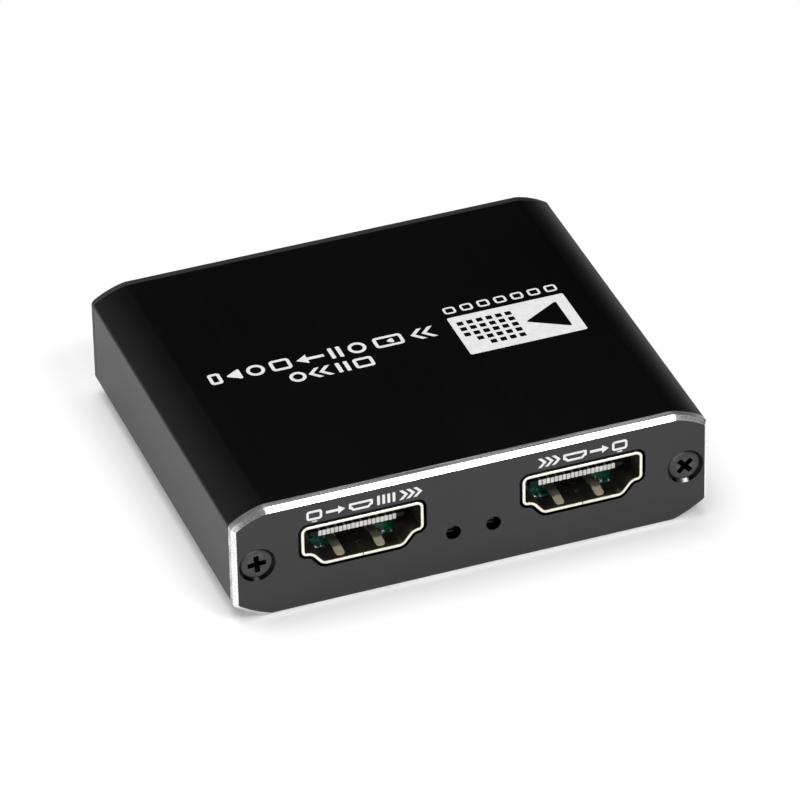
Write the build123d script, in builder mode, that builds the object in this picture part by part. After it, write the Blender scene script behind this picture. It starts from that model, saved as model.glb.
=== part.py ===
from build123d import *
import os

# Video capture box: an extruded aluminium sleeve closed by a front and a rear plate.
# The sleeve holds one circuit board with two video sockets at the front, and a data socket
# and two audio jacks at the rear. Sizes are in millimetres.
# X runs to the right seen from the sockets, Y runs to the rear, Z runs up.
# The origin lies under the middle of the box, on the surface that it stands on.

# Room left round the sockets and chips, from which the closed box gets its size.
# It lies between a video socket and the middle of the box, between it and the box's side,
# above it, and from the feet of the video contacts to those of the data contacts.
socket_middle_room = 6.03
socket_side_room = 8.23
socket_headroom = 2.45
chip_room = 19.96

# Corner cuts, which swell a little between their two edges
top_cut_width = 4.2
top_cut_height = 1.85
top_cut_bulge = 0.25
bottom_cut_width = 4.3
bottom_cut_height = 2.25
bottom_cut_bulge = 0.2
top_crease_radius = 2.5
side_corner_radius = 0.7

# Sleeve
sleeve_wall = 1.2
rail_depth = 1.1
rail_thickness = 1.0
rail_gap = 0.15
channel_wall = 0.85
channel_mouth = 1.0

# Plates
plate_thickness = 1.3
plate_bevel = 0.5
socket_cutout_gap = 0.32
light_hole_diameter = 1.8
data_cutout_gap = 0.3
jack_hole_gap = 0.15

# Countersunk screws
screw_diameter = 2.0
screw_length = 6.0
screw_head_diameter = 3.8
screw_head_rim = 0.1
screw_head_sink = 0.2
screw_tip_chamfer = 0.4
screw_play = 0.1
screw_channel_play = 0.02
screw_inset = 2.9
screw_rise = 2.5
recess_span = 2.45
recess_arm = 0.62
recess_depth = 0.9
recess_floor_share = 0.55
left_recess_turn = 4.0
right_recess_turn = 42.0

# Circuit board
board_thickness = 1.6
board_floor_gap = 2.25
board_side_play = 0.2
board_end_play = 0.2

# Video sockets
video_lift = 0.5
video_width = 14.74
video_height = 5.6
video_step_height = 1.65
video_step_inset = 1.15
video_slope_run = 1.35
video_top_radius = 0.8
video_shoulder_radius = 0.75
video_throat_radius = 0.5
video_base_radius = 0.7
video_sheet = 0.36
video_depth = 11.5
video_seam = 0.1
video_body_play = 0.03
video_cavity_depth = 8.9
video_foot_depth = 1.7
video_foot_width = 13.4
video_foot_height = 4.6
tongue_start = 1.95
tongue_width = 11.5
tongue_thickness = 0.62
tongue_rise = 2.72
contact_count = 19
contact_pitch = 0.5
contact_width = 0.36
contact_thickness = 0.12
contact_foot = 1.1
leg_width = 1.8
leg_stickout = 0.7
leg_front_depth = 3.2
leg_rear_depth = 9.6
leg_play = 0.15

# Retention fingers in the floor of each video socket
finger_offset = 2.45
finger_width = 1.08
finger_thickness = 0.2
finger_tip_depth = 0.6
finger_crest_depth = 2.8
finger_root_depth = 4.7
finger_crest_rise = 0.28
finger_tip_rise = 0.02
finger_play = 0.12
finger_root_play = 0.08
finger_tip_share = 0.46
floor_window_start = 2.7
floor_window_end = 6.4
floor_window_edge = 5.1

# Data socket
data_width = 13.1
data_height = 5.72
data_sheet = 0.3
data_corner_radius = 0.6
data_depth = 14.0
data_cavity_depth = 9.4
data_foot_depth = 1.2
data_foot_height = 4.4
data_body_play = 0.03
data_tongue_start = 1.1
data_tongue_width = 11.1
data_tongue_thickness = 1.75
data_tongue_drop = 0.75
data_contact_width = 0.4
data_contact_thickness = 0.12
data_outer_contact_offset = 3.5
data_inner_contact_offset = 1.0
data_contact_start = 5.0
fast_contact_pitch = 2.0
fast_contact_start = 0.5
data_leg_width = 2.2
data_leg_depth = 5.0
data_finger_offset = 3.2
data_finger_width = 1.6
data_finger_thickness = 0.2
data_finger_root_depth = 2.2
data_finger_crest_depth = 5.4
data_finger_tip_depth = 6.6
data_finger_drop = 0.35
data_finger_play = 0.15

# Audio jacks
jack_gap = 5.65
jack_width = 6.4
jack_height = 5.0
jack_length = 12.0
jack_bore = 3.6
jack_barrel = 4.2
jack_bore_floor = 0.8
jack_edge = 0.3
jack_collar_recess = 0.1
jack_pocket_height = 1.5
jack_pocket_start = 3.4
jack_pocket_end = 10.2
leaf_width = 1.1
leaf_thickness = 0.2
leaf_stand = 0.55
leaf_crest_reach = 0.3
leaf_play = 0.15
leaf_crest_share = 0.35
terminal_thickness = 0.2
terminal_width = 1.2
terminal_height = 1.9
terminal_foot = 0.9
terminal_inset = 1.6

# Indicator lights, which shine sideways out of the holes
light_offset = 2.45
light_width = 3.0
light_height = 1.5
light_base_depth = 0.6
light_lens_depth = 0.5
light_lens_width = 1.5
light_lens_draft = 0.15
light_setback = 0.15

# Chips and small parts on the board
lead_width = 0.22
lead_thickness = 0.15
lead_pitch = 0.65
lead_reach = 0.9
lead_foot = 0.45
chip_standoff = 0.1
chip_edge = 0.2
capacitor_length = 1.6
capacitor_width = 0.8
capacitor_height = 0.8
resistor_height = 0.45
part_edge = 0.06
inductor_side = 4.0
inductor_height = 2.0
inductor_edge = 0.5
crystal_length = 3.2
crystal_width = 2.5
crystal_height = 0.8
crystal_lid_inset = 0.2
capture_side = 10.0
capture_height = 1.0
splitter_side = 8.0
splitter_height = 1.0
memory_width = 3.9
memory_length = 4.9
memory_height = 1.4
audio_width = 4.4
audio_length = 5.6
audio_height = 1.0
regulator_width = 2.9
regulator_length = 1.6
regulator_height = 1.1
surge_width = 2.5
surge_length = 1.0
surge_height = 0.5

# Places of the chips and small parts, as shares of the board's width and of the room for chips
capture_place_shares = (0.1, 0.0)
splitter_place_shares = (-0.18, -0.05)
memory_place_shares = (0.36, 0.1)
audio_place_shares = (-0.33, 0.36)
inductor_place_shares = ((-0.38, -0.05), (0.38, -0.25), (0.38, 0.38))
crystal_place_shares = ((-0.065, 0.3), (-0.3, -0.36), (0.27, -0.3))
regulator_place_shares = ((-0.39, -0.3), (0.39, -0.45), (0.3, 0.38))
surge_place_shares = ((-0.42, -0.44), (0.25, -0.45), (0.32, -0.45))
capacitor_place_shares = (
    *[(x_share, -0.44) for x_share in (-0.25, -0.175, -0.1, -0.025, 0.05, 0.125)],
    *[(x_share, 0.42) for x_share in (-0.15, -0.075, 0, 0.075, 0.15, 0.225)],
)
resistor_place_shares = (
    *[(-0.065, y_share) for y_share in (-0.25, -0.15, -0.05, 0.05, 0.15)],
    *[(0.25, y_share) for y_share in (-0.1, 0, 0.1, 0.2)],
)

# One overrun serves every cut that has to pass a face
overrun = 0.5

# Sizes of the closed box
video_offset = socket_middle_room + video_width / 2
half_width = video_offset + video_width / 2 + socket_side_room
box_width = 2 * half_width
board_bottom = sleeve_wall + board_floor_gap
board_top = board_bottom + board_thickness
video_bottom = board_top + video_lift
box_height = video_bottom + video_height + socket_headroom + sleeve_wall
video_reach = video_depth + video_foot_depth + contact_thickness + contact_foot
data_reach = data_depth + data_foot_depth + data_contact_thickness + contact_foot
box_length = video_reach + chip_room + data_reach
sleeve_length = box_length - 2 * plate_thickness

# Places that follow from the sizes above
half_sleeve = sleeve_length / 2
front_y = -(half_sleeve + plate_thickness)
rear_y = half_sleeve + plate_thickness
board_width = box_width - 2 * (sleeve_wall + board_side_play)
board_length = sleeve_length - 2 * board_end_play
screw_x = half_width - screw_inset
screw_z = board_top + screw_rise
screw_places = ((-screw_x, screw_z), (screw_x, screw_z))
jack_offset = data_width / 2 + jack_gap + jack_width / 2
light_z = board_top + light_height / 2
jack_z = board_top + jack_height / 2
jack_face_y = rear_y - jack_collar_recess
jack_body_y = board_length / 2
chip_middle_y = (front_y + video_reach + rear_y - data_reach) / 2

os.makedirs("parts", exist_ok=True)


def facing(y, x=0, z=0):
    """Plane across the box, seen from the front: its sketch runs along X and up Z."""
    return Plane(origin=(x, y, z), x_dir=(1, 0, 0), z_dir=(0, -1, 0))


def lengthwise(x, y=0, z=0):
    """Plane along the box, seen from the right: its sketch runs along Y and up Z."""
    return Plane(origin=(x, y, z), x_dir=(0, 1, 0), z_dir=(1, 0, 0))


def level(z, x=0, y=0):
    """Plane lying flat at a height: its sketch runs along X and Y."""
    return Plane(origin=(x, y, z), x_dir=(1, 0, 0), z_dir=(0, 0, 1))


def moved_in(plane, x, y):
    """The same plane with its origin moved to a place in it."""
    return Plane(plane.from_local_coords((x, y, 0)), x_dir=plane.x_dir, z_dir=plane.z_dir)


def keep(piece, name):
    """Label a finished piece and write it to its own file."""
    piece.part.label = name
    export_step(piece.part, f"parts/{name}.step")


# Cross-section of the closed box
with BuildSketch() as box_outline:
    with BuildLine():
        top_edge = Line((0, box_height), (half_width - top_cut_width, box_height))
        top_cut = SagittaArc(top_edge @ 1, (half_width, box_height - top_cut_height), top_cut_bulge)
        side_edge = Line(top_cut @ 1, (half_width, bottom_cut_height))
        bottom_cut = SagittaArc(side_edge @ 1, (half_width - bottom_cut_width, 0), bottom_cut_bulge)
        Line(bottom_cut @ 1, (0, 0))
        mirror(about=Plane.YZ)
    make_face()
    fillet_side = half_width - side_corner_radius
    side_corners = box_outline.vertices().filter_by(lambda corner: abs(corner.X) > fillet_side)
    fillet(side_corners, side_corner_radius)
    top_corners = box_outline.vertices().group_by(Axis.Y)[-1].sort_by(Axis.X)
    fillet([top_corners[0], top_corners[-1]], top_crease_radius)


# Housing sleeve, one extruded length with a rail pair for the board and a screw channel each side
channel_bore = screw_diameter + 2 * screw_channel_play
channel_diameter = channel_bore + 2 * channel_wall
rail_middle = half_width - sleeve_wall - rail_depth / 2
upper_rail_bottom = board_top + rail_gap

with BuildPart() as housing_sleeve:
    with BuildSketch(facing(0)):
        add(box_outline.sketch)
        offset(box_outline.sketch, amount=-sleeve_wall, mode=Mode.SUBTRACT)
        with Locations(*screw_places):
            Circle(channel_diameter / 2)
        for side in (-1, 1):
            with Locations((side * rail_middle, board_bottom)):
                Rectangle(rail_depth, rail_thickness, align=(Align.CENTER, Align.MAX))
            with Locations((side * rail_middle, upper_rail_bottom)):
                Rectangle(rail_depth, screw_z - upper_rail_bottom, align=(Align.CENTER, Align.MIN))
        with Locations(*screw_places):
            Circle(channel_bore / 2, mode=Mode.SUBTRACT)
        for side in (-1, 1):
            with Locations((side * (screw_x - channel_diameter / 2), screw_z)):
                Rectangle(channel_diameter, channel_mouth, mode=Mode.SUBTRACT)
    extrude(amount=half_sleeve, both=True)
keep(housing_sleeve, "housing_sleeve")


def video_outline(growth):
    """Outline of a video socket's mouth about the middle of its floor, grown by an amount."""
    half_mouth = video_width / 2
    slope_top = half_mouth - video_step_inset
    slope_foot = slope_top - video_slope_run
    with BuildSketch() as outline:
        with BuildLine():
            FilletPolyline(
                (0, video_height),
                (half_mouth, video_height),
                (half_mouth, video_step_height),
                (slope_top, video_step_height),
                (slope_foot, 0),
                (0, 0),
                radius=[video_top_radius, video_shoulder_radius, video_throat_radius, video_base_radius],
            )
            mirror(about=Plane.YZ)
        make_face()
        if growth:
            offset(amount=growth)
    return outline.sketch


def data_outline(growth):
    """Outline of the data socket's mouth about the middle of its floor, grown by an amount."""
    with BuildSketch() as outline:
        with Locations((0, data_height / 2)):
            RectangleRounded(data_width + 2 * growth, data_height + 2 * growth, data_corner_radius + growth)
    return outline.sketch


# End plates. Both have the box's outline, a bevel round the outer edge and two screw holes.
cone_radius = screw_head_diameter / 2 + screw_head_sink + screw_head_rim
screw_hole_radius = screw_diameter / 2 + screw_play
front_face = facing(front_y)
rear_face = Plane(origin=(0, rear_y, 0), x_dir=(-1, 0, 0), z_dir=(0, 1, 0))


def blank_plate(outer_face):
    """Plate with its bevel and screw holes, before the openings for the sockets are cut."""
    with BuildPart() as plate:
        with BuildSketch(outer_face):
            add(box_outline.sketch)
        extrude(amount=-plate_thickness)
        outward = Axis(outer_face.origin, outer_face.z_dir)
        chamfer(plate.faces().sort_by(outward)[-1].outer_wire().edges(), plate_bevel)
        with Locations(*[moved_in(outer_face, x, z) for x, z in screw_places]):
            CounterSinkHole(screw_hole_radius, cone_radius, counter_sink_angle=90)
    return plate.part


with BuildPart() as front_plate:
    add(blank_plate(front_face))
    with BuildSketch(front_face):
        with Locations((-video_offset, video_bottom), (video_offset, video_bottom)):
            add(video_outline(socket_cutout_gap))
        with Locations((-light_offset, light_z), (light_offset, light_z)):
            Circle(light_hole_diameter / 2)
    extrude(amount=-plate_thickness, mode=Mode.SUBTRACT)
keep(front_plate, "front_plate")

# The rear plate has the data socket in the middle and a round hole for each jack collar
jack_collar_radius = jack_height / 2

with BuildPart() as rear_plate:
    add(blank_plate(rear_face))
    with BuildSketch(rear_face):
        with Locations((0, board_top)):
            add(data_outline(data_cutout_gap))
        with Locations((-jack_offset, jack_z), (jack_offset, jack_z)):
            Circle(jack_collar_radius + jack_hole_gap)
    extrude(amount=-plate_thickness, mode=Mode.SUBTRACT)
keep(rear_plate, "rear_plate")


# Countersunk cross-recess screws, two for each plate, turned as their driver left them
head_radius = screw_head_diameter / 2
shank_radius = screw_diameter / 2
head_depth = screw_head_rim + head_radius - shank_radius


def plate_screws(plate_face, name, turns):
    """Two screws that seat in one plate, each a separate solid."""
    top = plate_face.offset(-screw_head_sink)
    with BuildPart() as screws:
        for (x, z), turn in zip(screw_places, turns):
            axis_plane = moved_in(top, x, z)
            with BuildSketch(axis_plane):
                Circle(head_radius)
            extrude(amount=-screw_head_rim)
            with BuildSketch(axis_plane.offset(-screw_head_rim)):
                Circle(head_radius)
            with BuildSketch(axis_plane.offset(-head_depth)):
                Circle(shank_radius)
            loft()
            with BuildSketch(axis_plane.offset(-head_depth)):
                Circle(shank_radius)
            extrude(amount=head_depth - screw_length + screw_tip_chamfer)
            with BuildSketch(axis_plane.offset(screw_tip_chamfer - screw_length)):
                Circle(shank_radius)
            with BuildSketch(axis_plane.offset(-screw_length)):
                Circle(shank_radius - screw_tip_chamfer)
            loft()
            for arm_turn in (turn, turn + 90):
                with BuildSketch(axis_plane):
                    Rectangle(recess_span, recess_arm, rotation=arm_turn)
                with BuildSketch(axis_plane.offset(-recess_depth)):
                    Rectangle(recess_span * recess_floor_share, recess_arm * recess_floor_share,
                              rotation=arm_turn)
                loft(mode=Mode.SUBTRACT)
    keep(screws, name)


plate_screws(front_face, "front_plate_screws", (left_recess_turn, right_recess_turn))
plate_screws(rear_face, "rear_plate_screws", (right_recess_turn, left_recess_turn))


# Circuit board, slotted for the legs of the sockets
video_wall_offset = (video_width - video_sheet) / 2
data_wall_offset = (data_width - data_sheet) / 2
leg_slots = [
    (side * video_offset + wall * video_wall_offset, front_y + depth)
    for side in (-1, 1)
    for wall in (-1, 1)
    for depth in (leg_front_depth, leg_rear_depth)
]

with BuildPart() as main_board:
    with BuildSketch(level(board_bottom)):
        Rectangle(board_width, board_length)
        with Locations(*leg_slots):
            Rectangle(video_sheet + 2 * leg_play, leg_width + 2 * leg_play, mode=Mode.SUBTRACT)
        with Locations(*[(wall * data_wall_offset, rear_y - data_leg_depth) for wall in (-1, 1)]):
            Rectangle(data_sheet + 2 * leg_play, data_leg_width + 2 * leg_play, mode=Mode.SUBTRACT)
    extrude(amount=board_thickness)
keep(main_board, "main_board")


# Video sockets. Each has a folded steel shell with four legs, a plastic body with the tongue,
# nineteen contacts and two retention fingers in its floor. One is made in the middle of the
# front, and both are copies of it.
def at_depth(depth):
    """Place along Y at a depth behind the front face."""
    return front_y + depth


tongue_bottom = video_bottom + tongue_rise
tongue_top = tongue_bottom + tongue_thickness
video_foot_rear = video_depth + video_foot_depth
finger_floor = video_bottom + video_sheet - finger_thickness / 2
window_inner = finger_offset + finger_width / 2 + finger_play
leg_bottom = board_bottom - leg_stickout
leg_top = video_bottom + video_step_height + video_shoulder_radius + video_sheet

with BuildPart() as video_shell:
    with BuildSketch(facing(front_y, 0, video_bottom)):
        add(video_outline(0))
        add(video_outline(-video_sheet), mode=Mode.SUBTRACT)
    extrude(amount=-video_depth)
    for wall in (-1, 1):
        for leg_depth in (leg_front_depth, leg_rear_depth):
            with BuildSketch(lengthwise(wall * video_wall_offset, at_depth(leg_depth), leg_bottom)):
                Rectangle(leg_width, leg_top - leg_bottom, align=(Align.CENTER, Align.MIN))
    extrude(amount=video_sheet / 2, both=True)
    with BuildSketch(level(video_bottom - overrun, 0, front_y)):
        with Locations((0, video_depth / 2)):
            Rectangle(video_seam, video_depth + overrun)
        for wall in (-1, 1):
            with Locations((wall * finger_offset, finger_tip_depth - finger_play)):
                Rectangle(finger_width + 2 * finger_play,
                          finger_root_depth + finger_root_play - finger_tip_depth + finger_play,
                          align=(Align.CENTER, Align.MIN))
            with Locations((wall * (window_inner + floor_window_edge) / 2, floor_window_start)):
                Rectangle(floor_window_edge - window_inner, floor_window_end - floor_window_start,
                          align=(Align.CENTER, Align.MIN))
    extrude(amount=overrun + video_sheet, mode=Mode.SUBTRACT)


def tongue_contact(tip_z, run_z):
    """One contact: up the tongue's front edge, back along it, down behind the body to its foot."""
    tip_y = at_depth(tongue_start) - contact_thickness / 2
    drop_y = at_depth(video_foot_rear) + contact_thickness / 2
    foot_z = board_top + contact_thickness / 2
    with BuildPart() as contact:
        with BuildSketch(lengthwise(0)):
            with BuildLine():
                Polyline((tip_y, tip_z), (tip_y, run_z), (drop_y, run_z), (drop_y, foot_z),
                         (drop_y + contact_foot, foot_z))
            trace(line_width=contact_thickness)
        extrude(amount=contact_width / 2, both=True)
    return contact.part


upper_contact = tongue_contact(tongue_bottom, tongue_top + contact_thickness / 2)
lower_contact = tongue_contact(tongue_top, tongue_bottom - contact_thickness / 2)
contact_places = [(number - (contact_count - 1) / 2) * contact_pitch for number in range(contact_count)]

with BuildPart() as video_contacts:
    with Locations(*[(x, 0, 0) for x in contact_places[0::2]]):
        add(upper_contact)
    with Locations(*[(x, 0, 0) for x in contact_places[1::2]]):
        add(lower_contact)

with BuildPart() as video_body:
    with BuildSketch(facing(at_depth(video_cavity_depth), 0, video_bottom)):
        add(video_outline(-video_sheet - video_body_play))
    extrude(amount=video_cavity_depth - video_depth)
    with BuildSketch(facing(at_depth(video_depth), 0, board_top)):
        Rectangle(video_foot_width, video_foot_height, align=(Align.CENTER, Align.MIN))
    extrude(amount=-video_foot_depth)
    with BuildSketch(facing(at_depth(video_cavity_depth), 0, tongue_bottom)):
        Rectangle(tongue_width, tongue_thickness, align=(Align.CENTER, Align.MIN))
    extrude(amount=video_cavity_depth - tongue_start)
    add(video_contacts.part, mode=Mode.SUBTRACT)

with BuildPart() as video_finger:
    with BuildSketch(lengthwise(0)):
        with BuildLine():
            Polyline(
                (at_depth(finger_tip_depth), finger_floor + finger_tip_rise),
                (at_depth(finger_crest_depth), finger_floor + finger_crest_rise),
                (at_depth(finger_root_depth), finger_floor),
            )
        trace(line_width=finger_thickness)
    extrude(amount=finger_width / 2, both=True)
    tip_face = video_finger.faces().sort_by(Axis.Y)[0]
    fillet(tip_face.edges().sort_by(SortBy.LENGTH)[:2], finger_width * finger_tip_share)

for side_name, socket_x in (("output", -video_offset), ("input", video_offset)):
    for master, piece_name, x in (
        (video_shell, "shell", socket_x),
        (video_body, "body", socket_x),
        (video_contacts, "contacts", socket_x),
        (video_finger, "finger_left", socket_x - finger_offset),
        (video_finger, "finger_right", socket_x + finger_offset),
    ):
        with BuildPart() as placed_piece:
            with Locations((x, 0, 0)):
                add(master.part)
        keep(placed_piece, f"{side_name}_socket_{piece_name}")


# Data socket at the rear. Its tongue carries five fast contacts near the mouth and four behind them.
def rear_depth(depth):
    """Place along Y at a depth in front of the rear face."""
    return rear_y - depth


data_tongue_top = board_top + data_height - data_sheet - data_tongue_drop
data_tongue_bottom = data_tongue_top - data_tongue_thickness
data_ceiling = board_top + data_height

with BuildPart() as data_socket_shell:
    with BuildSketch(facing(rear_y, 0, board_top)):
        add(data_outline(0))
        add(data_outline(-data_sheet), mode=Mode.SUBTRACT)
    extrude(amount=data_depth)
    for wall in (-1, 1):
        leg_plane = lengthwise(wall * data_wall_offset, rear_depth(data_leg_depth), leg_bottom)
        with BuildSketch(leg_plane):
            Rectangle(data_leg_width, leg_stickout + board_thickness + data_height / 2,
                      align=(Align.CENTER, Align.MIN))
    extrude(amount=data_sheet / 2, both=True)
    finger_slot_length = data_finger_tip_depth - data_finger_root_depth + data_finger_play + finger_root_play
    with BuildSketch(level(data_ceiling - data_sheet - overrun)):
        with Locations(*[(wall * data_finger_offset, rear_depth(data_finger_root_depth - finger_root_play))
                         for wall in (-1, 1)]):
            Rectangle(data_finger_width + 2 * data_finger_play, finger_slot_length,
                      align=(Align.CENTER, Align.MAX))
    extrude(amount=data_sheet + 2 * overrun, mode=Mode.SUBTRACT)
keep(data_socket_shell, "data_socket_shell")

data_drop_y = rear_depth(data_depth + data_foot_depth) - data_contact_thickness / 2
data_run_z = data_tongue_bottom - data_contact_thickness / 2
data_foot_z = board_top + data_contact_thickness / 2
inner_contacts = [
    side * offset for side in (-1, 1) for offset in (data_inner_contact_offset, data_outer_contact_offset)
]
fast_contacts = [number * fast_contact_pitch for number in (-2, -1, 0, 1, 2)]
contact_starts = [(x, data_contact_start) for x in inner_contacts]
contact_starts += [(x, fast_contact_start) for x in fast_contacts]

with BuildPart() as data_socket_contacts:
    for contact_x, start in contact_starts:
        with BuildSketch(lengthwise(contact_x)):
            with BuildLine():
                Polyline(
                    (rear_depth(data_tongue_start + start), data_run_z),
                    (data_drop_y, data_run_z),
                    (data_drop_y, data_foot_z),
                    (data_drop_y - contact_foot, data_foot_z),
                )
            trace(line_width=data_contact_thickness)
    extrude(amount=data_contact_width / 2, both=True)
keep(data_socket_contacts, "data_socket_contacts")

with BuildPart() as data_socket_body:
    with BuildSketch(facing(rear_depth(data_cavity_depth), 0, board_top)):
        add(data_outline(-data_sheet - data_body_play))
    extrude(amount=data_depth - data_cavity_depth)
    with BuildSketch(facing(rear_depth(data_depth), 0, board_top)):
        Rectangle(data_width, data_foot_height, align=(Align.CENTER, Align.MIN))
    extrude(amount=data_foot_depth)
    with BuildSketch(facing(rear_depth(data_cavity_depth), 0, data_tongue_bottom)):
        Rectangle(data_tongue_width, data_tongue_thickness, align=(Align.CENTER, Align.MIN))
    extrude(amount=data_tongue_start - data_cavity_depth)
    add(data_socket_contacts.part, mode=Mode.SUBTRACT)
keep(data_socket_body, "data_socket_body")

data_finger_middle = data_ceiling - data_sheet / 2
for hand, wall in (("left", 1), ("right", -1)):
    with BuildPart() as data_finger:
        with BuildSketch(lengthwise(wall * data_finger_offset)):
            with BuildLine():
                Polyline(
                    (rear_depth(data_finger_root_depth), data_finger_middle),
                    (rear_depth(data_finger_crest_depth), data_finger_middle - data_finger_drop),
                    (rear_depth(data_finger_tip_depth), data_finger_middle),
                )
            trace(line_width=data_finger_thickness)
        extrude(amount=data_finger_width / 2, both=True)
    keep(data_finger, f"data_socket_finger_{hand}")


# Audio jacks. A sprung leaf in a side pocket presses on the tip of the plug.
leaf_x = jack_bore / 2 + leaf_stand
leaf_tip_y = jack_body_y - jack_pocket_end + leaf_play
leaf_root_y = jack_body_y - jack_pocket_start - leaf_play
leaf_crest_y = leaf_tip_y + (leaf_root_y - leaf_tip_y) * leaf_crest_share

for jack_name, side in (("mic", -1), ("audio", 1)):
    jack_x = side * jack_offset
    with BuildPart() as jack_body:
        with BuildSketch(facing(jack_body_y, jack_x, board_top)):
            Rectangle(jack_width, jack_height, align=(Align.CENTER, Align.MIN))
        extrude(amount=jack_length)
        chamfer(jack_body.faces().sort_by(Axis.Z)[-1].edges().filter_by(Axis.Y), jack_edge)
        with BuildSketch(facing(jack_body_y, jack_x, jack_z)):
            Circle(jack_collar_radius)
        extrude(amount=jack_body_y - jack_face_y)
        with BuildSketch(facing(jack_face_y, jack_x, jack_z)):
            Circle(jack_bore / 2)
        extrude(amount=jack_face_y - jack_body_y + jack_pocket_start, mode=Mode.SUBTRACT)
        with BuildSketch(facing(jack_body_y - jack_pocket_start, jack_x, jack_z)):
            Circle(jack_barrel / 2)
        extrude(amount=jack_length - jack_pocket_start - jack_bore_floor, mode=Mode.SUBTRACT)
        with BuildSketch(lengthwise(jack_x, jack_body_y, jack_z)):
            with Locations((-jack_pocket_start, 0)):
                Rectangle(jack_pocket_end - jack_pocket_start, jack_pocket_height,
                          align=(Align.MAX, Align.CENTER))
        extrude(amount=-side * jack_width, mode=Mode.SUBTRACT)
    keep(jack_body, f"{jack_name}_jack_body")

    with BuildPart() as jack_leaf:
        with BuildSketch(level(jack_z, jack_x)):
            with BuildLine():
                Polyline(
                    (-side * leaf_x, leaf_root_y),
                    (-side * (jack_bore / 2 - leaf_crest_reach), leaf_crest_y),
                    (-side * leaf_x, leaf_tip_y),
                )
            trace(line_width=leaf_thickness)
        extrude(amount=leaf_width / 2, both=True)
    keep(jack_leaf, f"{jack_name}_jack_leaf")

    with BuildPart() as jack_terminals:
        for wall in (-1, 1):
            for terminal_y in (jack_body_y - terminal_inset, jack_body_y - jack_length + terminal_inset):
                inner_x = jack_x + wall * (jack_width + terminal_thickness) / 2
                with BuildSketch(facing(terminal_y)):
                    with BuildLine():
                        Polyline(
                            (inner_x, board_top + terminal_height),
                            (inner_x, board_top + terminal_thickness / 2),
                            (inner_x + wall * terminal_foot, board_top + terminal_thickness / 2),
                        )
                    trace(line_width=terminal_thickness)
        extrude(amount=terminal_width / 2, both=True)
    keep(jack_terminals, f"{jack_name}_jack_terminals")


# Indicator lights at the board's front edge, centred behind the holes of the front plate
light_front_y = -board_length / 2 + light_setback
light_lens_y = light_front_y + light_lens_depth
light_back_y = light_lens_y + light_base_depth

for light_name, side in (("power", -1), ("signal", 1)):
    with BuildPart() as light:
        with BuildSketch(facing(light_back_y, side * light_offset, light_z)):
            Rectangle(light_width, light_height)
        extrude(amount=light_base_depth)
        with BuildSketch(facing(light_lens_y, side * light_offset, light_z)):
            Rectangle(light_lens_width, light_height)
        with BuildSketch(facing(light_front_y, side * light_offset, light_z)):
            Rectangle(light_lens_width - 2 * light_lens_draft, light_height - 2 * light_lens_draft)
        loft()
    keep(light, f"{light_name}_light")


# Chips: a moulded package on gull-wing leads along two or four of its sides
def gull_lead(height):
    """One lead that leaves a package at half its height, pointing along X from the package's side."""
    lead_z = board_top + lead_thickness / 2
    shoulder_z = board_top + chip_standoff + height / 2
    with BuildPart() as lead:
        with BuildSketch(facing(0)):
            with BuildLine():
                Polyline(
                    (-lead_foot, shoulder_z),
                    (lead_reach - lead_foot, shoulder_z),
                    (lead_reach - lead_foot, lead_z),
                    (lead_reach, lead_z),
                )
            trace(line_width=lead_thickness)
        extrude(amount=lead_width / 2, both=True)
    return lead.part


def chip_place(place_shares):
    """Place on the board for shares of its width and of the room for chips."""
    x_share, y_share = place_shares
    return x_share * board_width, chip_middle_y + y_share * chip_room


def leaded_chip(name, place_shares, width, length, height, lead_counts):
    """Chip at a place given as shares, with a number of leads per side along X and along Y."""
    x, y = chip_place(place_shares)
    lead_places = []
    for half_size, turn, count in ((width / 2, 0, lead_counts[0]), (length / 2, 90, lead_counts[1])):
        for number in range(count):
            row = Vector(half_size, (number - (count - 1) / 2) * lead_pitch, 0)
            for side_turn in (turn, turn + 180):
                place = Vector(x, y, 0) + row.rotate(Axis.Z, side_turn)
                lead_places.append(Location(place, (0, 0, side_turn)))
    with BuildPart() as chip:
        with BuildSketch(level(board_top + chip_standoff, x, y)):
            Rectangle(width, length)
        extrude(amount=height)
        chamfer(chip.faces().sort_by(Axis.Z)[-1].edges(), chip_edge)
        with Locations(*lead_places):
            add(gull_lead(height))
    keep(chip, name)


leaded_chip("capture_chip", capture_place_shares, capture_side, capture_side, capture_height, (14, 14))
leaded_chip("splitter_chip", splitter_place_shares, splitter_side, splitter_side, splitter_height, (11, 11))
leaded_chip("memory_chip", memory_place_shares, memory_width, memory_length, memory_height, (4, 0))
leaded_chip("audio_chip", audio_place_shares, audio_width, audio_length, audio_height, (8, 0))


def board_parts(name, place_shares, width, length, height, edge):
    """A group of like parts on the board, each a separate block with broken top edges."""
    with BuildPart() as group:
        with BuildSketch(level(board_top)):
            with Locations(*[chip_place(shares) for shares in place_shares]):
                Rectangle(width, length)
        extrude(amount=height)
        chamfer(group.faces().group_by(Axis.Z)[-1].edges(), edge)
    keep(group, name)


board_parts("capacitors", capacitor_place_shares, capacitor_length, capacitor_width, capacitor_height,
            part_edge)
board_parts("resistors", resistor_place_shares, capacitor_length, capacitor_width, resistor_height, part_edge)
board_parts("power_inductors", inductor_place_shares, inductor_side, inductor_side, inductor_height,
            inductor_edge)
board_parts("clock_crystals", crystal_place_shares, crystal_length, crystal_width, crystal_height,
            crystal_lid_inset)
board_parts("voltage_regulators", regulator_place_shares, regulator_width, regulator_length, regulator_height,
            chip_edge)
board_parts("surge_arrays", surge_place_shares, surge_width, surge_length, surge_height, part_edge)
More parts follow.
